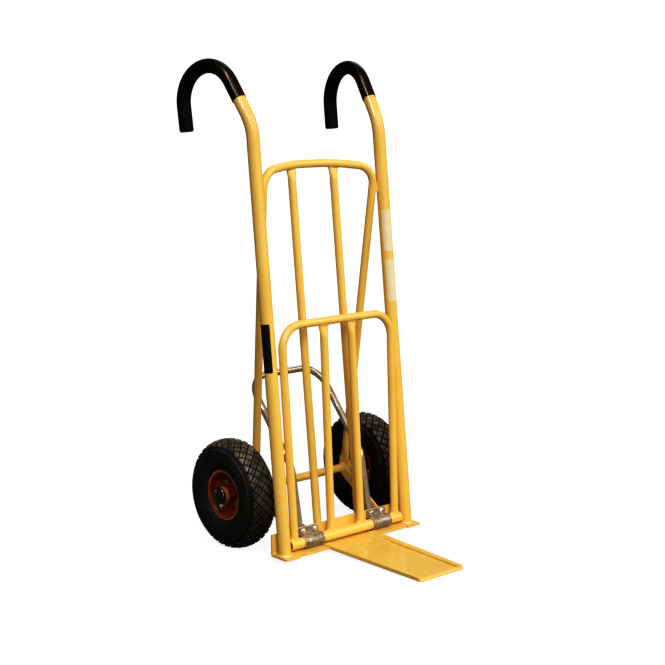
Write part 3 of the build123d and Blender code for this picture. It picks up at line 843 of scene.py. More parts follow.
def hand_in(piece: Piece, body: Body, finish: Finish | None, slot: Slot, *nodes: str) -> None:
    """Dress a finished piece, ride it on its body and log it.

    Args:
        piece: the object.
        body: the CAD body that it moves with.
        finish: its finish, or None where its slots are already dressed.
        slot: the record's material slot; not used.
        nodes: CAD nodes that it stands for.
    """
    if finish is not None:
        finish.dress(piece)
    if nodes:
        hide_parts(*nodes)
    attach(piece, body.value)
    LOG.info("%s on %s: %d faces", piece.name, body.value, len(piece.data.polygons))


def dress_nodes(finish: Finish, *names: str) -> None:
    """Put a finish on CAD nodes that keep their shape, and log them."""
    finish.dress(*[frame["nodes"][name] for name in names])
    LOG.info("%s on %s", finish.name, ", ".join(names))


def facing(origin: Vector, axis: Vector, turn: float = 0.0) -> Matrix:
    """Place for a piece modelled along +Z: its foot, where +Z points, and its turn in radians."""
    spin = Matrix.Rotation(turn, 4, "Z")
    return Matrix.Translation(origin) @ axis.to_track_quat("Z", "Y").to_matrix().to_4x4() @ spin


@dataclass
class HexFastener:
    """Hexagon head or nut on +Z from z = 0: chamfered crown, washer face and rounded thread end."""

    across: float
    height: float
    thread: float
    tail: float = 0.0
    washer: float = 0.0
    washer_t: float = 1.2 * MM
    washer_soften: float = 0.3 * MM
    thread_soften: float = 0.8 * MM
    thread_sunk: float = 0.5 * MM
    crown_share: float = 0.93
    crown_slope: float = 1.732
    cone_sides: int = 36
    rod_sides: int = 28
    level: float = 1e-7
    shade: float = 28.0

    def crown(self) -> Piece:
        """Cut a hexagon by a cone.

        Returns:
            The chamfered hexagon.
        """
        half = self.across / 2
        corner = half / math.cos(math.pi / 6)
        body = Bench.turned(6, (corner, corner), 0.0, self.height)
        top = half * self.crown_share
        cone = Bench.turned(self.cone_sides, (top + self.height * self.crown_slope, top), 0.0, self.height)
        Bench.apply(body, "BOOLEAN", operation="INTERSECT", object=cone, solver="EXACT")
        bpy.data.objects.remove(cone)
        return body

    def rod(self, radius: float, low: float, high: float, soften: float) -> Piece:
        """Round bar with bevelled rims.

        Args:
            radius: its radius.
            low: z of its foot.
            high: z of its top.
            soften: width of the bevel on both rims.

        Returns:
            The bar.
        """
        bar = Bench.turned(self.rod_sides, (radius, radius), low, high)
        with Bench.editing(bar):
            Bench.pick(Pick.EDGES, lambda e: abs(e.verts[0].co.z - e.verts[1].co.z) < self.level)
            bpy.ops.mesh.bevel(offset=soften, segments=2, affect="EDGES")
        return bar

    def build(self, name: str) -> Piece:
        """Model the fastener.

        Args:
            name: name of the piece.

        Returns:
            The fastener with its foot at the origin.
        """
        parts = [self.crown()]
        if self.washer:
            parts.append(self.rod(self.washer, 0.0, self.washer_t, self.washer_soften))
        if self.tail:
            end = self.height + self.tail
            parts.append(self.rod(self.thread, -self.thread_sunk, end, self.thread_soften))
        made = Bench.join(parts[::-1], name)
        Bench.smooth(made, self.shade)
        return made

    def spread(self, name: str, places: Sequence[Matrix]) -> Piece:
        """Model one and set a copy in each place.

        Args:
            name: name of the joined set.
            places: where the copies go.

        Returns:
            The set as one piece.
        """
        first = self.build(name)
        copies = [Bench.copy(first) for _ in places]
        for copy, place in zip(copies, places):
            Bench.settle(copy, place)
        bpy.data.objects.remove(first)
        return Bench.join(copies, name)


@dataclass
class Tread:
    """Diamond block tread, modelled flat for one pitch and then wrapped on the tyre."""

    pitches: int = 34
    radius: float = 130 * MM
    crown_half: float = 28 * MM
    crown_drop: float = 7 * MM
    shoulder: Pair = (36.5 * MM, 112 * MM)
    row: float = 11 * MM
    groove: float = 3.3 * MM
    sipe: float = 1.5 * MM
    sipe_at: float = 0.10
    depth: float = 3.2 * MM
    sunk: float = 1.2 * MM
    chamfer: float = 0.55 * MM
    lug_cut: float = 1.6 * MM
    lug_run: float = 2.6 * MM
    lug_fall: float = 1.5 * MM
    dusty_to: float = -1.7 * MM
    dusty_lean: float = 0.5
    at_top: float = -0.01 * MM

    def __post_init__(self) -> None:
        """Work out the crown's arc and one pitch's length."""
        self.bow = (self.crown_half**2 + self.crown_drop**2) / (2 * self.crown_drop)
        self.crown_len = self.bow * math.asin(self.crown_half / self.bow)
        self.pitch = math.tau * self.radius / self.pitches

    def surface(self, across: float, height: float) -> Pair:
        """Point over the tyre's outer surface.

        Args:
            across: distance from the middle along the surface.
            height: height above the surface.

        Returns:
            Axial distance from the wheel's middle, and radius.
        """
        run, way = abs(across), math.copysign(1.0, across)
        if run <= self.crown_len:
            angle = run / self.bow
            reach = self.bow + height
            return way * reach * math.sin(angle), self.radius - self.bow + reach * math.cos(angle)
        start = (self.crown_half, self.radius - self.crown_drop)
        slope = math.atan2(start[1] - self.shoulder[1], self.shoulder[0] - start[0])
        step = run - self.crown_len
        axial = start[0] + step * math.cos(slope) + height * math.sin(slope)
        return way * axial, start[1] - step * math.sin(slope) + height * math.cos(slope)

    def block(self, share: Share = Share.WHOLE) -> Piece:
        """One flat diamond block, x across the tread, y along it, z outwards.

        Args:
            share: the part of it that is kept.

        Returns:
            The block.
        """
        half = (self.row, self.pitch / 2)
        clear = half[0] * half[1] / math.hypot(*half)
        size = (clear - self.groove / 2) / clear
        block = Bench.plane(math.sqrt(2.0))
        with Bench.editing(block):
            Bench.whole()
            bpy.ops.transform.rotate(value=math.pi / 4, orient_axis="Z", center_override=(0, 0, 0))
            bpy.ops.transform.resize(value=(half[0] * size, half[1] * size, 1.0), center_override=(0, 0, 0))
            Bench.shift(0, 0, -self.depth - self.sunk)
            Bench.extrude(0, 0, self.depth + self.sunk)
            if share is not Share.WHOLE:
                main = share is Share.MAIN
                across = Vector((half[1], -half[0], 0)).normalized()
                spot = across * (self.sipe_at * clear + (-0.5 if main else 0.5) * self.sipe)
                Bench.whole()
                bpy.ops.mesh.bisect(
                    plane_co=spot, plane_no=across, clear_outer=main, clear_inner=not main, use_fill=True
                )
            self.finish_top()
        return block

    def lug(self) -> Piece:
        """One flat shoulder lug: the inner corner of a diamond, falling away to the wall.

        Returns:
            The lug.
        """
        lug = self.block()
        outer = self.lug_cut + self.lug_run / 2
        with Bench.editing(lug):
            Bench.whole()
            bpy.ops.mesh.bisect(
                plane_co=(self.lug_cut, 0, 0), plane_no=(1, 0, 0), clear_outer=True, use_fill=True
            )
            Bench.pick(Pick.FACES, lambda f: f.normal.x > SQUARE_ON)
            Bench.extrude(self.lug_run, 0, 0)
            Bench.pick(Pick.VERTS, lambda v: v.co.x > outer and v.co.z > -self.depth)
            Bench.shift(0, 0, -self.lug_fall)
        return lug

    def finish_top(self) -> None:
        """Chamfer the top of the edited block and give its face a middle point."""
        Bench.pick(Pick.EDGES, lambda e: all(v.co.z > self.at_top for v in e.verts))
        bpy.ops.mesh.bevel(offset=self.chamfer, segments=1, affect="EDGES")
        Bench.pick(Pick.FACES, lambda f: f.normal.z > SQUARE_ON)
        bpy.ops.mesh.poke()

    def flat_pitch(self) -> Piece:
        """All blocks of one pitch, laid out flat.

        Returns:
            The joined blocks.
        """
        blocks = []
        for row in range(-2, 3):
            shift = Matrix.Translation((row * self.row, self.pitch / 2 if row % 2 else 0.0, 0))
            for share in (Share.WHOLE,) if row % 2 else (Share.MAIN, Share.SLIVER):
                blocks.append(self.block(share))
                Bench.settle(blocks[-1], shift)
        for way in (1, -1):
            blocks.append(self.lug())
            turn = Matrix.Rotation(0.0 if way > 0 else math.pi, 4, "Z")
            Bench.settle(blocks[-1], Matrix.Translation((way * 3 * self.row, self.pitch / 2, 0)) @ turn)
        return Bench.join(blocks, "tread_pitch")

    def wrapped(self, centre: Vector, rubber: Finish, top_finish: Finish) -> Piece:
        """Wrap one pitch on the crown and spin copies of it all round.

        Args:
            centre: the wheel's middle.
            rubber: finish of the block sides.
            top_finish: finish of the block tops, with dusting and painted top light.

        Returns:
            The whole tread.
        """
        tread = self.flat_pitch()
        tread.data.materials.clear()
        tread.data.materials.append(rubber.material())
        tread.data.materials.append(top_finish.material())
        for face in tread.data.polygons:
            face.material_index = int(face.normal.z > self.dusty_lean and face.center.z > self.dusty_to)
        for vert in tread.data.vertices:
            axial, radius = self.surface(vert.co.x, vert.co.z)
            turn = vert.co.y / self.radius
            vert.co = centre + Vector((axial, radius * math.sin(turn), radius * math.cos(turn)))
        more = self.pitches - 1
        with Bench.editing(tread):
            Bench.weld_up()
            bpy.ops.mesh.spin(
                steps=more, dupli=True, angle=math.tau * more / self.pitches, center=centre, axis=(1, 0, 0)
            )
        return tread


@dataclass
class Valve:
    """Valve stem with a rubber foot and a ribbed cap, along +Z from z = 0."""

    sides: int = 24
    foot: Pair = (4.4 * MM, 2.9 * MM)
    foot_h: float = 7 * MM
    ledge: float = 0.4 * MM
    stem_h: float = 5 * MM
    cap_r: float = 3.2 * MM
    cap_z: Pair = (10.45 * MM, 17.95 * MM)
    rib_gap: float = 0.12 * MM
    rib_depth: float = 0.3 * MM
    crown: float = 0.6 * MM
    crown_rise: float = 0.5 * MM
    disc_area: float = 1e-6
    upright: float = 0.1
    shade: float = 40.0

    def build(self, name: str) -> Piece:
        """Model foot and cap, and join them.

        Args:
            name: name of the piece.

        Returns:
            The dressed valve.
        """
        foot = Bench.turned(self.sides, self.foot, 0.0, self.foot_h)
        with Bench.editing(foot):
            Bench.pick(Pick.FACES, lambda f: f.normal.z > SQUARE_ON)
            bpy.ops.mesh.inset(thickness=self.ledge)
            Bench.extrude(0, 0, self.stem_h)
        CapPlastic().dress(foot)
        cap = Bench.turned(self.sides, (self.cap_r, self.cap_r), *self.cap_z)
        with Bench.editing(cap):
            Bench.pick(Pick.FACES, lambda f: abs(f.normal.z) < self.upright and f.index % 2 == 0)
            bpy.ops.mesh.inset(thickness=self.rib_gap, depth=-self.rib_depth, use_individual=True)
            Bench.pick(Pick.FACES, lambda f: f.normal.z > SQUARE_ON and f.calc_area() > self.disc_area)
            bpy.ops.mesh.inset(thickness=self.crown)
            Bench.shift(0, 0, self.crown_rise)
        BoltZinc().dress(cap)
        stem = Bench.join([cap, foot], name)
        Bench.smooth(stem, self.shade)
        return stem


@dataclass
class Wheel:
    """One air tyred wheel: tyre with block tread, rim halves, bolts, nuts, valve and hub.

    The tyre's section is given by runs across the crown and by radius and height of each step down the wall.
    """

    side: int
    name: str
    middle: float = 208.7 * MM
    axle: Pair = AXLE
    bolt_circle: float = 31 * MM
    bolt_across: float = 13 * MM
    bolt_head: float = 5 * MM
    bolt_thread: float = 4 * MM
    bolt_washer: float = 8.3 * MM
    bolt_turn: float = 0.4
    nut_tail: float = 3 * MM
    rim_t: float = 2 * MM
    bead: Pair = (26.7 * MM, 52.3 * MM)
    bead_rise: float = 7 * MM
    wall_foot: Pair = (31 * MM, 60.3 * MM)
    wall_mid: Pair = (41 * MM, 86.8 * MM)
    cavity: Pair = (33 * MM, 34.2 * MM)
    cavity_turns: Sequence[int] = range(-60, 91, 25)
    crown_runs: Sequence[float] = (0.0, 7.3, 14.6, 21.9, 29.2, 36.0, 41.5)
    shoulder_run: Sequence[Pair] = ((112, 0.0), (110.9, 0.0))
    outer_rib: Sequence[Pair] = ((110.3, 1.2), (107.9, 1.2), (107.3, 0.0), (104.5, 0.0))
    wall_run: Sequence[Pair] = ((101, 0.0), (95, 0.0), (87, 0.0), (79, 0.0), (72, 0.0))
    inner_rib: Sequence[Pair] = ((68.5, 0.0), (67.9, 0.7), (66.0, 0.7), (65.4, 0.0), (62, 0.0))
    rib_band: Pair = (107.8 * MM, 110.4 * MM)
    rib_reach: float = 30 * MM
    around: int = 136
    valve_axial: float = 12 * MM
    valve_seat: float = 53.5 * MM
    valve_turn: float = math.radians(215)
    shade: float = 34.0
    tread: Tread = field(default_factory=Tread)

    @property
    def centre(self) -> Vector:
        """The wheel's middle."""
        return Vector((self.side * self.middle, *self.axle))

    @property
    def body(self) -> Body:
        """The CAD body of this wheel."""
        return Body.LEFT_WHEEL if self.side < 0 else Body.RIGHT_WHEEL

    def wall(self, radius: float) -> float:
        """Half width of the side wall, an arc through its foot, middle and shoulder.

        Args:
            radius: distance from the axle.

        Returns:
            Axial distance from the wheel's middle.
        """
        (x1, y1), (x2, y2), (x3, y3) = self.wall_foot, self.wall_mid, self.tread.shoulder
        d = 2 * (x1 * (y2 - y3) + x2 * (y3 - y1) + x3 * (y1 - y2))
        s1, s2, s3 = x1 * x1 + y1 * y1, x2 * x2 + y2 * y2, x3 * x3 + y3 * y3
        cx = (s1 * (y2 - y3) + s2 * (y3 - y1) + s3 * (y1 - y2)) / d
        cy = (s1 * (x3 - x2) + s2 * (x1 - x3) + s3 * (x2 - x1)) / d
        reach = math.hypot(x1 - cx, y1 - cy)
        return cx + math.sqrt(max(reach**2 - (radius - cy) ** 2, 0.0))

    def half_profile(self) -> list[Pair]:
        """Section of the carcass from the crown's middle down the wall to the bead and up inside.

        Returns:
            Axial distance and radius of each point.
        """
        points = [self.tread.surface(run * MM, -self.tread.depth) for run in self.crown_runs]
        for radius, raised in (*self.shoulder_run, *self.outer_rib, *self.wall_run, *self.inner_rib):
            points.append((self.wall(radius * MM) + raised * MM, radius * MM))
        points += [self.wall_foot, (self.bead[0], self.bead[1] + self.bead_rise), self.bead]
        points.append((self.cavity[0] / 2, self.bead[1]))
        for turn in self.cavity_turns:
            across = self.cavity[0] * math.cos(math.radians(turn))
            above = self.cavity[1] * math.sin(math.radians(turn))
            points.append((max(across, 0.0), self.wall_mid[1] + above))
        return points

    def carcass(self) -> Piece:
        """Spin the section into the tyre's body.

        Returns:
            The carcass.
        """
        half = self.half_profile()
        loop = half + [(-x, r) for x, r in half[-2:0:-1]]
        Bench.clear()
        bpy.ops.mesh.primitive_circle_add(vertices=len(loop), radius=self.cavity[0], location=(0, 0, 0))
        carcass = bpy.context.object
        for vert, (axial, radius) in zip(carcass.data.vertices, loop):
            vert.co = self.centre + Vector((axial, 0, radius))
        with Bench.editing(carcass):
            Bench.whole()
            bpy.ops.mesh.spin(steps=self.around, angle=math.tau, center=self.centre, axis=(1, 0, 0))
            Bench.weld_up()
        TyreRubber().dress(carcass)
        # The rib faces take the lighter rib rubber: a painted sheen line round the wall.
        carcass.data.materials.append(SheenRibRubber().material())
        for face in carcass.data.polygons:
            reach = face.center - self.centre
            on_band = self.rib_band[0] < math.hypot(reach.y, reach.z) < self.rib_band[1]
            face.material_index = int(on_band and abs(reach.x) > self.rib_reach)
        return carcass

    def tyre(self) -> None:
        """Carcass and tread as one piece."""
        carcass = self.carcass()
        blocks = self.tread.wrapped(self.centre, TyreRubber(), TreadRubber())
        tyre = Bench.join([blocks, carcass], self.name + "_block_tyre")
        Bench.smooth(tyre, self.shade)
        hand_in(tyre, self.body, None, Slot.TYRE, self.name + "_tyre")

    def bolt_places(self, axial: float, way: int) -> list[Matrix]:
        """Where the rim bolts or nuts go.

        Args:
            axial: distance of their seat from the wheel's middle.
            way: 1 where they point outwards, -1 inwards.

        Returns:
            One place for each.
        """
        places = []
        reach = self.bolt_circle
        for number in range(4):
            turn = math.radians(45 + 90 * number)
            spot = Vector((self.side * axial, reach * math.cos(turn), reach * math.sin(turn)))
            out = Vector((way * self.side, 0, 0))
            places.append(facing(self.centre + spot, out, self.bolt_turn * number))
        return places

    def bolts(self) -> None:
        """Rim bolts outside and nuts inside."""
        for way, tail, piece, node in (
            (1, 0.0, "bolt_heads", "bolts"),
            (-1, self.nut_tail, "lock_nuts", "nuts"),
        ):
            fastener = HexFastener(self.bolt_across, self.bolt_head, self.bolt_thread, tail, self.bolt_washer)
            made = fastener.spread(f"{self.name}_rim_{piece}", self.bolt_places(way * self.rim_t, way))
            hand_in(made, self.body, RimBoltZinc(), Slot.ZINC, f"{self.name}_rim_{node}")

    def valve(self) -> None:
        """Set the valve in the rim, pointing at the hub."""
        stem = Valve().build(self.name + "_valve_stem")
        inward = -Vector((0, self.side * math.cos(self.valve_turn), math.sin(self.valve_turn)))
        origin = self.centre + Vector((self.side * self.valve_axial, 0, 0)) - inward * self.valve_seat
        Bench.settle(stem, facing(origin, inward))
        hand_in(stem, self.body, None, Slot.ZINC, self.name + "_valve")

    def build(self) -> None:
        """Build and dress the whole wheel."""
        dress_nodes(RimPaint(), self.name + "_outer_rim", self.name + "_inner_rim")
        dress_nodes(HubPaint(), self.name + "_hub")
        dress_nodes(BoltZinc(), self.name + "_bearings")
        dress_nodes(TyreRubber(), self.name + "_inner_tube")
        self.tyre()
        self.bolts()
        self.valve()


@dataclass
class Bead:
    """A weld bead along a path."""

    path: list[Vector]
    size: float = 2.0 * MM
    closed: bool = True
    ripple: float = 2.3 * MM
    seed: int = 1
    shake: float = 0.12
    swell: Pair = (0.90, 1.08)
    swell_shake: float = 0.07
    tip: float = 0.55

    def evened(self) -> list[Vector]:
        """The path with points about half a ripple apart.

        Returns:
            The new points.
        """
        points = self.path + ([self.path[0]] if self.closed else [])
        lengths = [(b - a).length for a, b in zip(points, points[1:])]
        total = sum(lengths)
        count = max(6, 2 * round(total / self.ripple))
        steps = count if self.closed else count + 1
        result, leg, walked = [], 0, 0.0
        for number in range(steps):
            goal = total * number / count
            while leg < len(lengths) - 1 and walked + lengths[leg] < goal:
                walked += lengths[leg]
                leg += 1
            part = (goal - walked) / max(lengths[leg], 1e-9)
            result.append(points[leg].lerp(points[leg + 1], min(part, 1.0)))
        return result

    def build(self) -> Piece:
        """Run the bead.

        Returns:
            The bead as a mesh.
        """
        draw = random.Random(self.seed)
        curve = bpy.data.curves.new("bead", "CURVE")
        curve.dimensions = "3D"
        curve.bevel_depth = self.size
        curve.bevel_resolution = 2
        curve.use_fill_caps = True
        spots = self.evened()
        spline = curve.splines.new("POLY")
        spline.points.add(len(spots) - 1)
        for number, (point, spot) in enumerate(zip(spline.points, spots)):
            jitter = Vector([draw.uniform(-self.shake, self.shake) * self.size for _ in range(3)])
            point.co = (*(spot + jitter), 1.0)
            point.radius = self.swell[number % 2] + draw.uniform(-self.swell_shake, self.swell_shake)
        if not self.closed:
            spline.points[0].radius = spline.points[-1].radius = self.tip
        spline.use_cyclic_u = self.closed
        piece = bpy.data.objects.new("bead", curve)
        bpy.context.scene.collection.objects.link(piece)
        Bench.take(piece)
        bpy.ops.object.convert(target="MESH")
        return bpy.context.object


def saddle(
    foot: Vector, along: Vector, half: Pair, on: Vector, line: Vector, main: float, count: int = 48
) -> list[Vector]:
    """Line where a tube meets the outside of a larger or equal tube.

    Args:
        foot: a point on the branch tube's axis.
        along: the branch's direction, away from the main tube.
        half: the branch's half width along the main tube, and its half depth.
        on: a point on the main tube's axis.
        line: the main tube's direction.
        main: the main tube's radius.
        count: number of points.

    Returns:
        Points of the closed line.
    """
    along, line = along.normalized(), line.normalized()
    first = (line - along * along.dot(line)).normalized() * half[0]
    second = along.cross(first.normalized()) * half[1]
    points = []
    for number in range(count):
        turn = math.tau * number / count
        start = foot + first * math.cos(turn) + second * math.sin(turn)
        gap = start - on
        flat_gap = gap - line * gap.dot(line)
        flat_way = along - line * along.dot(line)
        a, b, c = flat_way.dot(flat_way), 2 * flat_gap.dot(flat_way), flat_gap.dot(flat_gap) - main**2
        reach = (-b + math.sqrt(max(b * b - 4 * a * c, 0.0))) / (2 * a)
        points.append(start + along * reach)
    return points


def ring(centre: Vector, axis: Vector, radius: float, count: int = 40) -> list[Vector]:
    """Circle of points.

    Args:
        centre: its middle.
        axis: its normal.
        radius: its radius.
        count: number of points.

    Returns:
        The points.
    """
    first = axis.orthogonal().normalized()
    second = axis.normalized().cross(first)
    turns = [math.tau * number / count for number in range(count)]
    return [centre + (first * math.cos(t) + second * math.sin(t)) * radius for t in turns]


@dataclass
class Flare:
    """Smoothly blended foot of a tube on a round one."""

    foot: Vector
    along: Vector
    radius: float
    on: Vector
    line: Vector
    main: float
    rise: float = 15 * MM
    reach: Pair = (6.5 * MM, 3.5 * MM)
    proud: float = 0.05 * MM
    steps: int = 7
    count: int = 48

    def build(self) -> Piece:
        """Lay a grid from the tube down over the corner to the round one.

        Returns:
            The foot as a mesh.
        """
        along, line = self.along.normalized(), self.line.normalized()
        corner = saddle(self.foot, along, (self.radius, self.radius), self.on, line, self.main, self.count)
        Bench.clear()
        bpy.ops.mesh.primitive_grid_add(x_subdivisions=self.count, y_subdivisions=self.steps, size=1.0)
        foot = bpy.context.object
        for vert in foot.data.vertices:
            turn = round((vert.co.x + 0.5) * self.count) % self.count
            part = vert.co.y + 0.5
            spot = corner[turn]
            out = spot - self.foot
            out = (out - along * out.dot(along)).normalized()
            wide = abs(out.dot(line))
            head = spot + along * self.rise + out * self.proud
            toe = spot + out * (self.reach[1] + (self.reach[0] - self.reach[1]) * wide**2) - self.on
            level = line * toe.dot(line)
            toe = self.on + level + (toe - level).normalized() * (self.main + self.proud)
            vert.co = head * (1 - part) ** 2 + spot * 2 * part * (1 - part) + toe * part**2
        with Bench.editing(foot):
            Bench.weld_up()
        return foot


@dataclass
class Welds:
    """Weld beads of the frame and of the folding grid.

    Each seam is given by the heights of its points; a lift is how far a bead's line stands off its plate.
    """

    stile_x: float = STILE_X
    stile_r: float = 15 * MM
    foot_y: float = STILE_FOOT_Y
    lean: float = math.tan(STILE_LEAN)
    base_top: float = 15 * MM
    flange_rear: float = 20.872 * MM
    flange_top: float = 61.55 * MM
    tube_r: float = 9.5 * MM
    pinched: Pair = (13.4 * MM, 3.9 * MM)
    bar_x: float = 64.3 * MM
    bar_head: float = 0.9
    crown_on: Vector = Vector((63.85, 110.35, 892.87)) * MM
    crown_line: Vector = Vector((0.988, -0.142, -0.059))
    pivot: Vector = Vector((0, 0.3222, 31.3)) * MM
    pivot_r: float = 12.5 * MM
    grid_h: float = 504.5 * MM
    grid_lean: float = math.tan(math.radians(3.1))
    leg_x: Pair = (159.3 * MM, 170.36 * MM)
    rod_x: Pair = (47.3 * MM, 42.8 * MM)
    brace_x: Pair = (132.2 * MM, 138.2 * MM)
    axle: Pair = AXLE
    foot_size: float = 2.7 * MM
    foot_gap: float = 0.9 * MM
    foot_lift: float = 0.5 * MM
    seam_size: float = 1.9 * MM
    bar_seam: Sequence[float] = (43, 52, 60)
    bar_seam_x: float = 5.9 * MM
    bar_lift: float = 0.4 * MM
    brace_seam: Sequence[float] = (19, 32, 45)
    brace_lift: float = 0.3 * MM
    eye_r: float = 10.6 * MM
    eye_size: float = 1.8 * MM
    # Pale bead in front of each stile foot, a painted glint: its arc in degrees, size and lift.
    glint_turns: Sequence[int] = range(-140, -89, 10)
    glint_size: float = 2.2 * MM
    glint_lift: float = 0.9 * MM
    shade: float = 50.0

    def stile_foot(self, side: int, lift: float) -> Vector:
        """Middle of a stile's foot, so far above the base."""
        return Vector((side * self.stile_x, self.foot_y + self.base_top * self.lean, self.base_top + lift))

    def seam(self, x: float, lift: float, heights: Sequence[float], seed: int) -> Bead:
        """Upright bead on the flange's rear, through points at heights in millimetres."""
        spots = [Vector((x, self.flange_rear + lift, z * MM)) for z in heights]
        return Bead(spots, self.seam_size, False, seed=seed)

    def frame_beads(self, side: int) -> list[Bead]:
        """Beads of one side of the fixed frame.

        Args:
            side: -1 on the left, 1 on the right.

        Returns:
            The beads.
        """
        foot = ring(self.stile_foot(side, self.foot_lift), Vector((0, 0, 1)), self.stile_r + self.foot_gap)
        beads = [Bead(foot, self.foot_size, seed=10 + side)]
        up = Vector((0, self.lean, 1)).normalized()
        mirror = Vector((side, 1, 1))
        behind = self.flange_rear + self.tube_r / up.z - self.flange_top * self.lean
        head = Vector((side * self.bar_x, behind, 0)) + up * self.bar_head
        crown = saddle(head, -up, self.pinched, self.crown_on * mirror, self.crown_line * mirror, self.tube_r)
        beads.append(Bead(crown, seed=20 + side))
        for way in (-1, 1):
            x = side * self.bar_x + way * self.bar_seam_x
            beads.append(self.seam(x, self.bar_lift, self.bar_seam, 30 + 2 * side + way))
        for edge, way in zip(self.brace_x, (-1, 1)):
            x = side * (edge + way * self.brace_lift)
            beads.append(self.seam(x, self.brace_lift, self.brace_seam, 40 + 2 * side + way))
        eye = Vector((side * (self.brace_x[0] - self.brace_lift), *self.axle))
        beads.append(Bead(ring(eye, Vector((1, 0, 0)), self.eye_r), self.eye_size, seed=50 + side))
        return beads

    def glint_bead(self, side: int) -> Bead:
        """Short pale bead on the base in front of a stile's foot: a painted glint.

        Args:
            side: -1 on the left, 1 on the right.

        Returns:
            The bead.
        """
        foot = self.stile_foot(side, self.glint_lift)
        reach = self.stile_r + self.glint_size
        turns = [math.radians(turn) for turn in self.glint_turns]
        spots = [foot + Vector((math.cos(t), math.sin(t), 0)) * reach for t in turns]
        return Bead(spots, self.glint_size, False, seed=80 + side)

    def grid_beads(self, side: int) -> list[Bead | Flare]:
        """Feet and beads of one side of the folding grid.

        Args:
            side: -1 on the left, 1 on the right.

        Returns:
            The flared feet of leg and bar, and the bead at the bar's head.
        """
        across = Vector((1, 0, 0))
        top = self.pivot + Vector((0, self.grid_h * self.grid_lean, self.grid_h))
        beads = []
        for low, high in (self.leg_x, self.rod_x):
            foot = self.pivot + Vector((side * low, 0, 0))
            head = top + Vector((side * high, 0, 0))
            beads.append(Flare(foot, head - foot, self.tube_r, self.pivot, across, self.pivot_r))
        join = saddle(head, foot - head, self.pinched, top, across, self.tube_r)
        beads.append(Bead(join, self.seam_size, seed=70 + side))
        return beads

    def run(self, beads: Sequence[Bead | Flare], name: str, body: Body, finish: Finish, slot: Slot) -> None:
        """Run beads and hand them in as one piece.

        Args:
            beads: the beads and feet.
            name: name of the piece.
            body: the CAD body that it moves with.
            finish: its finish.
            slot: the record's material slot.
        """
        piece = Bench.join([bead.build() for bead in beads], name)
        Bench.smooth(piece, self.shade)
        hand_in(piece, body, finish, slot)

    def build(self) -> None:
        """Run all beads, joined by body and side."""
        for side, name in SIDES:
            for body, beads in ((Body.FRAME, self.frame_beads(side)), (Body.GRID, self.grid_beads(side))):
                self.run(beads, f"{name}_{body.value}_welds", body, FramePaint(), Slot.PAINT)
            # A pale bead in front of each stile foot, standing in for a glint: a painted glint.
            wear_and_highlight = [self.glint_bead(side)]
            self.run(wear_and_highlight, name + "_foot_rubbed_weld", Body.FRAME, PaintedGlintWeld(), Slot.ZINC)


@dataclass
class PlateWork:
    """Bent and cut plate whose edges are softened, each on a copy of its CAD node."""

    soften: float = 0.7 * MM
    sheet_soften: float = 0.45 * MM
    same_spot: float = 0.004 * MM
    same_plane: float = math.radians(0.5)
    sharp: float = math.radians(38)
    shade: float = 40.0
    strip_rear: float = -31 * MM
    strip_more: float = 19.6 * MM
    front_band: float = 1 * MM
    ramp: float = 14 * MM
    tuck: float = 1.5 * MM

    def run_on(self) -> None:
        """Run the edited strip on over the base angle."""
        Bench.pick(Pick.VERTS, lambda v: v.co.y > self.strip_rear)
        Bench.shift(0, self.strip_more, 0)

    def thin_out(self) -> None:
        """Thin the edited doubler out to its front, and tuck its sides under the strips."""
        spots = [v.co.copy() for v in bmesh.from_edit_mesh(bpy.context.edit_object.data).verts]
        front = min(spot.y for spot in spots) + self.front_band
        level = [spot.z for spot in spots if spot.y < front]
        middle = (min(level) + max(level)) / 2
        Bench.pick(Pick.VERTS, lambda v: v.co.y < front and v.co.z > middle)
        Bench.shift(0, self.ramp, 0)
        for way in (-1, 1):
            Bench.pick(Pick.VERTS, lambda v: way * v.co.x > 0)
            Bench.shift(way * self.tuck, 0, 0)

    def softened(self, node: str, width: float) -> Piece:
        """Copy a CAD node and round its edges.

        Args:
            node: name of the CAD node.
            width: width of the bevel.

        Returns:
            The copy.
        """
        piece = Bench.copy(frame["nodes"][node])
        piece.name = piece.data.name = node + "_plate"
        del piece["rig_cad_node"]
        with Bench.editing(piece):
            Bench.whole()
            bpy.ops.mesh.customdata_custom_splitnormals_clear()
            bpy.ops.mesh.remove_doubles(threshold=self.same_spot)
            bpy.ops.mesh.dissolve_limited(angle_limit=self.same_plane)
            if node.endswith("toe_strip"):
                self.run_on()
            if node == "toe_doubler":
                self.thin_out()
        bevel = {"width": width, "segments": 2, "limit_method": "ANGLE", "angle_limit": self.sharp}
        Bench.apply(piece, "BEVEL", harden_normals=False, **bevel)
        Bench.smooth(piece, self.shade)
        Bench.apply(piece, "WEIGHTED_NORMAL", keep_sharp=True, weight=100)
        return piece

    def build(self) -> None:
        """Soften and dress every plate."""
        painted = ["base_angle", "toe_plate", "toe_doubler"]
        for _, name in SIDES:
            painted += [name + "_toe_strip", name + "_lower_brace", name + "_hoop_lug"]
        for node in painted:
            hand_in(self.softened(node, self.soften), Body.FRAME, FramePaint(), Slot.PAINT, node)
        for _, name in SIDES:
            for node in (name + "_hinge_strap", name + "_tilt_saddle"):
                hand_in(self.softened(node, self.sheet_soften), Body.FRAME, ZincPlate(), Slot.ZINC, node)


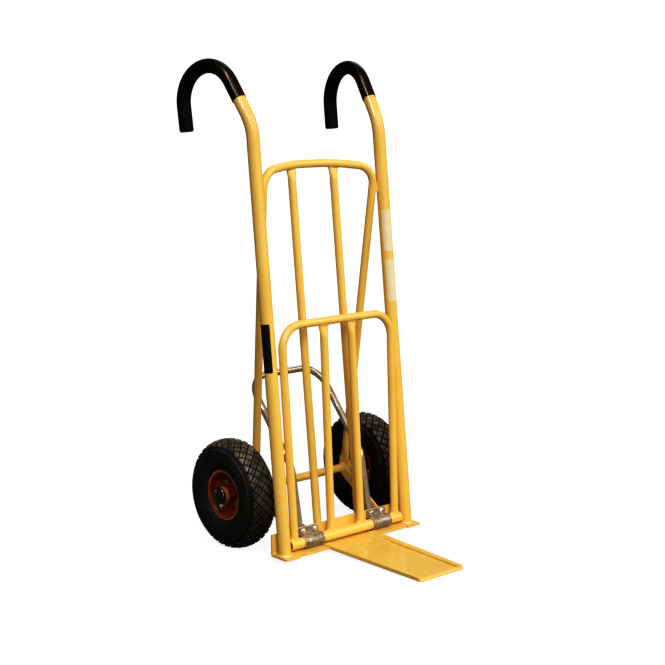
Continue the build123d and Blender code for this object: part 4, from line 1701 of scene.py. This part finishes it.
@dataclass
class HingeBolts:
    """Bolts through the hinge straps, with nuts behind the saddles."""

    at_x: Pair = (89.6 * MM, 125.4 * MM)
    at_z: float = 54.05 * MM
    lip_front: float = 9.872 * MM
    nut_front: float = 23.372 * MM
    across: float = 10 * MM
    thread: float = 3 * MM
    head_h: float = 4 * MM
    washer: float = 6.3 * MM
    washer_t: float = 0.9 * MM
    nut_h: float = 5 * MM
    nut_tail: float = 3 * MM
    turn: float = 0.5

    def places(self, y: float, way: int) -> list[Matrix]:
        """Where the heads or nuts go.

        Args:
            y: their seat.
            way: -1 to the front, 1 to the rear.

        Returns:
            One place for each.
        """
        spots = [Vector((side * x, y, self.at_z)) for side, _ in SIDES for x in self.at_x]
        return [facing(spot, Vector((0, way, 0)), self.turn * number) for number, spot in enumerate(spots)]

    def build(self) -> None:
        """Model heads and nuts."""
        head = HexFastener(self.across, self.head_h, self.thread, 0.0, self.washer, self.washer_t)
        heads = head.spread("hinge_bolt_heads", self.places(self.lip_front, -1))
        hand_in(heads, Body.FRAME, BoltZinc(), Slot.ZINC, "hinge_bolts")
        nut = HexFastener(self.across, self.nut_h, self.thread, self.nut_tail)
        nuts = nut.spread("hinge_lock_nuts", self.places(self.nut_front, 1))
        hand_in(nuts, Body.FRAME, BoltZinc(), Slot.ZINC, "hinge_nuts")


@dataclass
class AxleCap:
    """Domed push-on cap over one end of the axle."""

    side: int
    name: str
    foot: float = 246.5 * MM
    skirt: float = 4.4 * MM
    radius: float = 20.5 * MM
    rise: float = 5.6 * MM
    rings: int = 8
    sides: int = 64
    soften: float = 1.0 * MM
    rim_share: float = 0.999
    rim_low: float = 0.9
    shade: float = 40.0
    axle: Pair = AXLE

    def build(self) -> None:
        """Raise the dome ring by ring from a short cylinder and round its rim."""
        cap = Bench.turned(self.sides, (self.radius, self.radius), 0.0, self.skirt)
        cap.name = cap.data.name = self.name + "_axle_dome"
        bow = (self.radius**2 + self.rise**2) / (2 * self.rise)
        lean = math.asin(self.radius / bow)
        turns = [lean * (1 - step / self.rings) for step in range(self.rings)]
        rim, low = self.radius * self.rim_share, self.skirt * self.rim_low
        with Bench.editing(cap):
            Bench.pick(Pick.FACES, lambda f: f.normal.z > SQUARE_ON)
            for turn, after in zip(turns, turns[1:]):
                inward = bow * (math.sin(turn) - math.sin(after))
                bpy.ops.mesh.inset(thickness=inward, depth=bow * (math.cos(after) - math.cos(turn)))
            Bench.pick(Pick.EDGES, lambda e: all(v.co.z > low and v.co.xy.length > rim for v in e.verts))
            bpy.ops.mesh.bevel(offset=self.soften, segments=3, affect="EDGES")
        Bench.settle(cap, facing(Vector((self.side * self.foot, *self.axle)), Vector((self.side, 0, 0))))
        Bench.smooth(cap, self.shade)
        hand_in(cap, Body.FRAME, CapPlastic(), Slot.CAP, self.name + "_axle_cap")


@dataclass
class Films:
    """Plain films stuck round the stiles, each with the heights and turns of its edges."""

    stile_x: float = STILE_X
    foot_y: float = STILE_FOOT_Y
    lean: float = STILE_LEAN
    radius: float = 15.03 * MM
    thick: float = 0.14 * MM
    corner: float = 2.2 * MM
    strips: int = 36
    shade: float = 35.0
    black: StuckFilm = StuckFilm(
        "black", (0.0040, 0.0034, 0.0029), (0.0085, 0.0072, 0.0060), (0.034, 0.028, 0.021)
    )
    cream: StuckFilm = StuckFilm("cream", (0.78, 0.64, 0.37), (0.70, 0.565, 0.32), (0.50, 0.40, 0.24))
    left_heights: Pair = (433 * MM, 543 * MM)
    left_turns: Pair = (20.5, 205.0)
    upper_heights: Pair = (678 * MM, 778 * MM)
    lower_heights: Pair = (558 * MM, 658 * MM)
    right_turns: Pair = (-160.0, 71.5)

    def film(self, name: str, side: int, heights: Pair, turns: Pair) -> Piece:
        """Cut a film with rounded corners and wrap it on a stile.

        Args:
            name: name of the film.
            side: -1 on the left stile, 1 on the right.
            heights: z of its lower and upper edge.
            turns: angles of its edges in degrees, from the front towards the left.

        Returns:
            The film.
        """
        wide = math.radians(turns[1] - turns[0]) * self.radius
        tall = (heights[1] - heights[0]) / math.cos(self.lean)
        film = Bench.plane(1.0)
        film.name = film.data.name = name
        with Bench.editing(film):
            Bench.whole()
            bpy.ops.transform.resize(value=(wide, tall, 1.0), center_override=(0, 0, 0))
            bpy.ops.mesh.bevel(offset=self.corner, segments=4, affect="VERTICES")
            for step in range(1, self.strips):
                Bench.whole()
                bpy.ops.mesh.bisect(plane_co=(wide * (step / self.strips - 0.5), 0, 0), plane_no=(1, 0, 0))
        middle = math.radians(sum(turns) / 2)
        for vert in film.data.vertices:
            turn = middle - vert.co.x / self.radius
            vert.co = Vector((-math.sin(turn) * self.radius, -math.cos(turn) * self.radius, vert.co.y))
        Bench.apply(film, "SOLIDIFY", thickness=self.thick, offset=1.0)
        height = sum(heights) / 2
        spot = Vector((side * self.stile_x, self.foot_y + height * math.tan(self.lean), height))
        Bench.settle(film, Matrix.Translation(spot) @ Matrix.Rotation(-self.lean, 4, "X"))
        Bench.smooth(film, self.shade)
        return film

    def build(self) -> None:
        """Stick on all films."""
        for name, side, heights, turns, finish in (
            ("left_stile_film", -1, self.left_heights, self.left_turns, self.black),
            ("right_stile_upper_film", 1, self.upper_heights, self.right_turns, self.cream),
            ("right_stile_lower_film", 1, self.lower_heights, self.right_turns, self.cream),
        ):
            hand_in(self.film(name, side, heights, turns), Body.FRAME, finish, Slot.PAINT)


class Tubes:
    """CAD tubes, sleeves and turned parts that keep their shape and get their finish."""

    def build(self) -> None:
        """Dress the nodes."""
        painted = ["back_hoop", "pivot_tube", "grid_hoop", "axle", "axle_spacers"]
        for _, name in SIDES:
            painted += [name + "_stile", name + "_back_bar", name + "_grid_bar"]
            dress_nodes(GripRubber(), name + "_grip")
        dress_nodes(FramePaint(), *painted)
        dress_nodes(GalvanisedTube(), "tilt_hoop")
        dress_nodes(BoltZinc(), "axle_washers")


@dataclass
class Stage:
    """Pale floor, soft light and the camera.

    A sun has its direction, strength and spread in degrees. A box has its direction and distance from a
    handle's neck, its width and height, its power, and whether it lights matte surfaces too, not only gloss.
    A snoot has its direction and distance from the left wheel, its cone in degrees, its radius and its power.
    """

    right: Vector = Vector((0.747528, -0.664203, -0.006719))
    up: Vector = Vector((0.111611, 0.115631, 0.987007))
    back: Vector = Vector((-0.65479, -0.73856, 0.16057))
    eye: Vector = Vector((-2.2010, -2.4380, 1.0421))
    lens: float = 77.684
    sensor: float = 36.0
    clip: Pair = (0.05, 100.0)
    floor_size: float = 60.0
    neck: Vector = Vector((-0.193, 0.070, 1.040))
    wheel: Vector = Vector((-0.256, 0.165, 0.130))
    suns: Sequence[tuple[str, Vector, float, float]] = (
        ("key_lamp", Vector((-0.360, -0.740, 0.570)), 2.32, 36.0),
        ("side_lamp", Vector((0.595, -0.630, 0.500)), 1.50, 30.0),
        ("back_lamp", Vector((0.66, 0.50, 0.76)), 0.4, 30.0),
        ("top_lamp", Vector((0.05, -0.10, 0.99)), 0.45, 60.0),
    )
    boxes: Sequence[tuple[str, Vector, float, Pair, float, bool]] = (
        ("ceiling_tube", Vector((-0.629, -0.228, 0.743)), 3.0, (0.22, 1.5), 270.0, False),
        ("front_box", Vector((0.04, -0.99, 0.10)), 2.5, (0.7, 0.9), 8.0, True),
    )
    snoots: Sequence[tuple[str, Vector, float, float, float, float]] = (
        ("wheel_snoot", Vector((-0.68, -0.32, 0.62)), 2.0, 9.0, 0.05, 42.0),
        ("rim_snoot", Vector((-0.97, -0.22, -0.02)), 1.6, 5.0, 0.05, 10.0),
        ("cap_snoot", Vector((-0.288, 0.945, 0.0)), 2.0, 3.5, 0.2, 16.0),
    )
    snoot_blend: float = 0.35
    sky: float = 0.12
    seen_sky: float = 1.1
    tone: Sequence[Pair] = ((0.02, 0.007), (0.10, 0.050), (0.25, 0.175), (0.5, 0.47))

    def floor(self) -> None:
        """Lay the floor."""
        floor = Bench.plane(self.floor_size)
        floor.name = "studio_floor"
        with Bench.editing(floor):
            Bench.whole()
            bpy.ops.mesh.subdivide(number_cuts=3)
        FloorPaper().dress(floor)

    def hang(self, name: str, kind: Lamp, aim: Vector, way: Vector, power: float, **settings: Any) -> Piece:
        """Hang a lamp that faces a point.

        Args:
            name: its name.
            kind: its kind.
            aim: the point.
            way: the way from the point to the lamp.
            power: strength of a sun, watts of another lamp.
            settings: the lamp's other properties.

        Returns:
            The lamp.
        """
        data = bpy.data.lights.new(name, kind.value)
        data.energy = power
        for key, value in settings.items():
            setattr(data, key, value)
        lamp = bpy.data.objects.new(name, data)
        lamp.location = aim + way
        lamp.rotation_euler = way.to_track_quat("Z", "Y").to_euler()
        bpy.context.scene.collection.objects.link(lamp)
        return lamp

    def lamps(self) -> None:
        """Hang all lamps."""
        for name, way, power, spread in self.suns:
            self.hang(name, Lamp.SUN, ORIGIN, way, power, angle=math.radians(spread))
        for name, way, far, (wide, tall), power, soft in self.boxes:
            size = {"shape": "RECTANGLE", "size": wide, "size_y": tall}
            box = self.hang(name, Lamp.BOX, self.neck, way * far, power, **size)
            box.visible_camera = False
            box.visible_diffuse = soft
        for name, way, far, cone, radius, power in self.snoots:
            size = {"spot_size": math.radians(cone), "shadow_soft_size": radius}
            snoot = self.hang(name, Lamp.SNOOT, self.wheel, way * far, power, **size)
            snoot.data.spot_blend = self.snoot_blend

    def surround(self) -> None:
        """Dim even light all round, seen as white."""
        world = bpy.data.worlds.new("studio")
        bpy.context.scene.world = world
        world.use_nodes = True
        tree = world.node_tree
        lit, seen = tree.nodes["Background"], tree.nodes.new("ShaderNodeBackground")
        path, mix = tree.nodes.new("ShaderNodeLightPath"), tree.nodes.new("ShaderNodeMixShader")
        tree.links.new(path.outputs["Is Camera Ray"], mix.inputs[0])
        for number, (light, strength) in enumerate(((lit, self.sky), (seen, self.seen_sky)), 1):
            light.inputs["Color"].default_value = (1, 1, 1, 1)
            light.inputs["Strength"].default_value = strength
            tree.links.new(light.outputs[0], mix.inputs[number])
        tree.links.new(mix.outputs[0], tree.nodes["World Output"].inputs["Surface"])

    def camera(self) -> None:
        """Stand the camera where the photograph was taken."""
        data = bpy.data.cameras.new("photo_camera")
        data.lens = self.lens
        data.sensor_width = self.sensor
        data.clip_start, data.clip_end = self.clip
        camera = bpy.data.objects.new("photo_camera", data)
        turn = Matrix((self.right, self.up, self.back)).transposed().to_4x4()
        camera.matrix_world = Matrix.Translation(self.eye) @ turn
        bpy.context.scene.collection.objects.link(camera)
        bpy.context.scene.camera = camera

    def print_tone(self) -> None:
        """Darken the low tones of the picture."""
        view = bpy.context.scene.view_settings
        view.view_transform = "Standard"
        view.use_curve_mapping = True
        for point in self.tone:
            view.curve_mapping.curves[3].points.new(*point)
        view.curve_mapping.update()

    def build(self) -> None:
        """Set the stage."""
        self.floor()
        self.surround()
        self.lamps()
        self.camera()
        self.print_tone()


def main() -> None:
    """Build the sack truck and its stage."""
    logging.basicConfig(level=logging.INFO, format="%(message)s")
    Stage().build()
    Tubes().build()
    PlateWork().build()
    Welds().build()
    HingeBolts().build()
    Films().build()
    for side, name in SIDES:
        AxleCap(side, name).build()
        Wheel(side, name).build()
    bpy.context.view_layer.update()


if __name__ == "__main__":
    main()
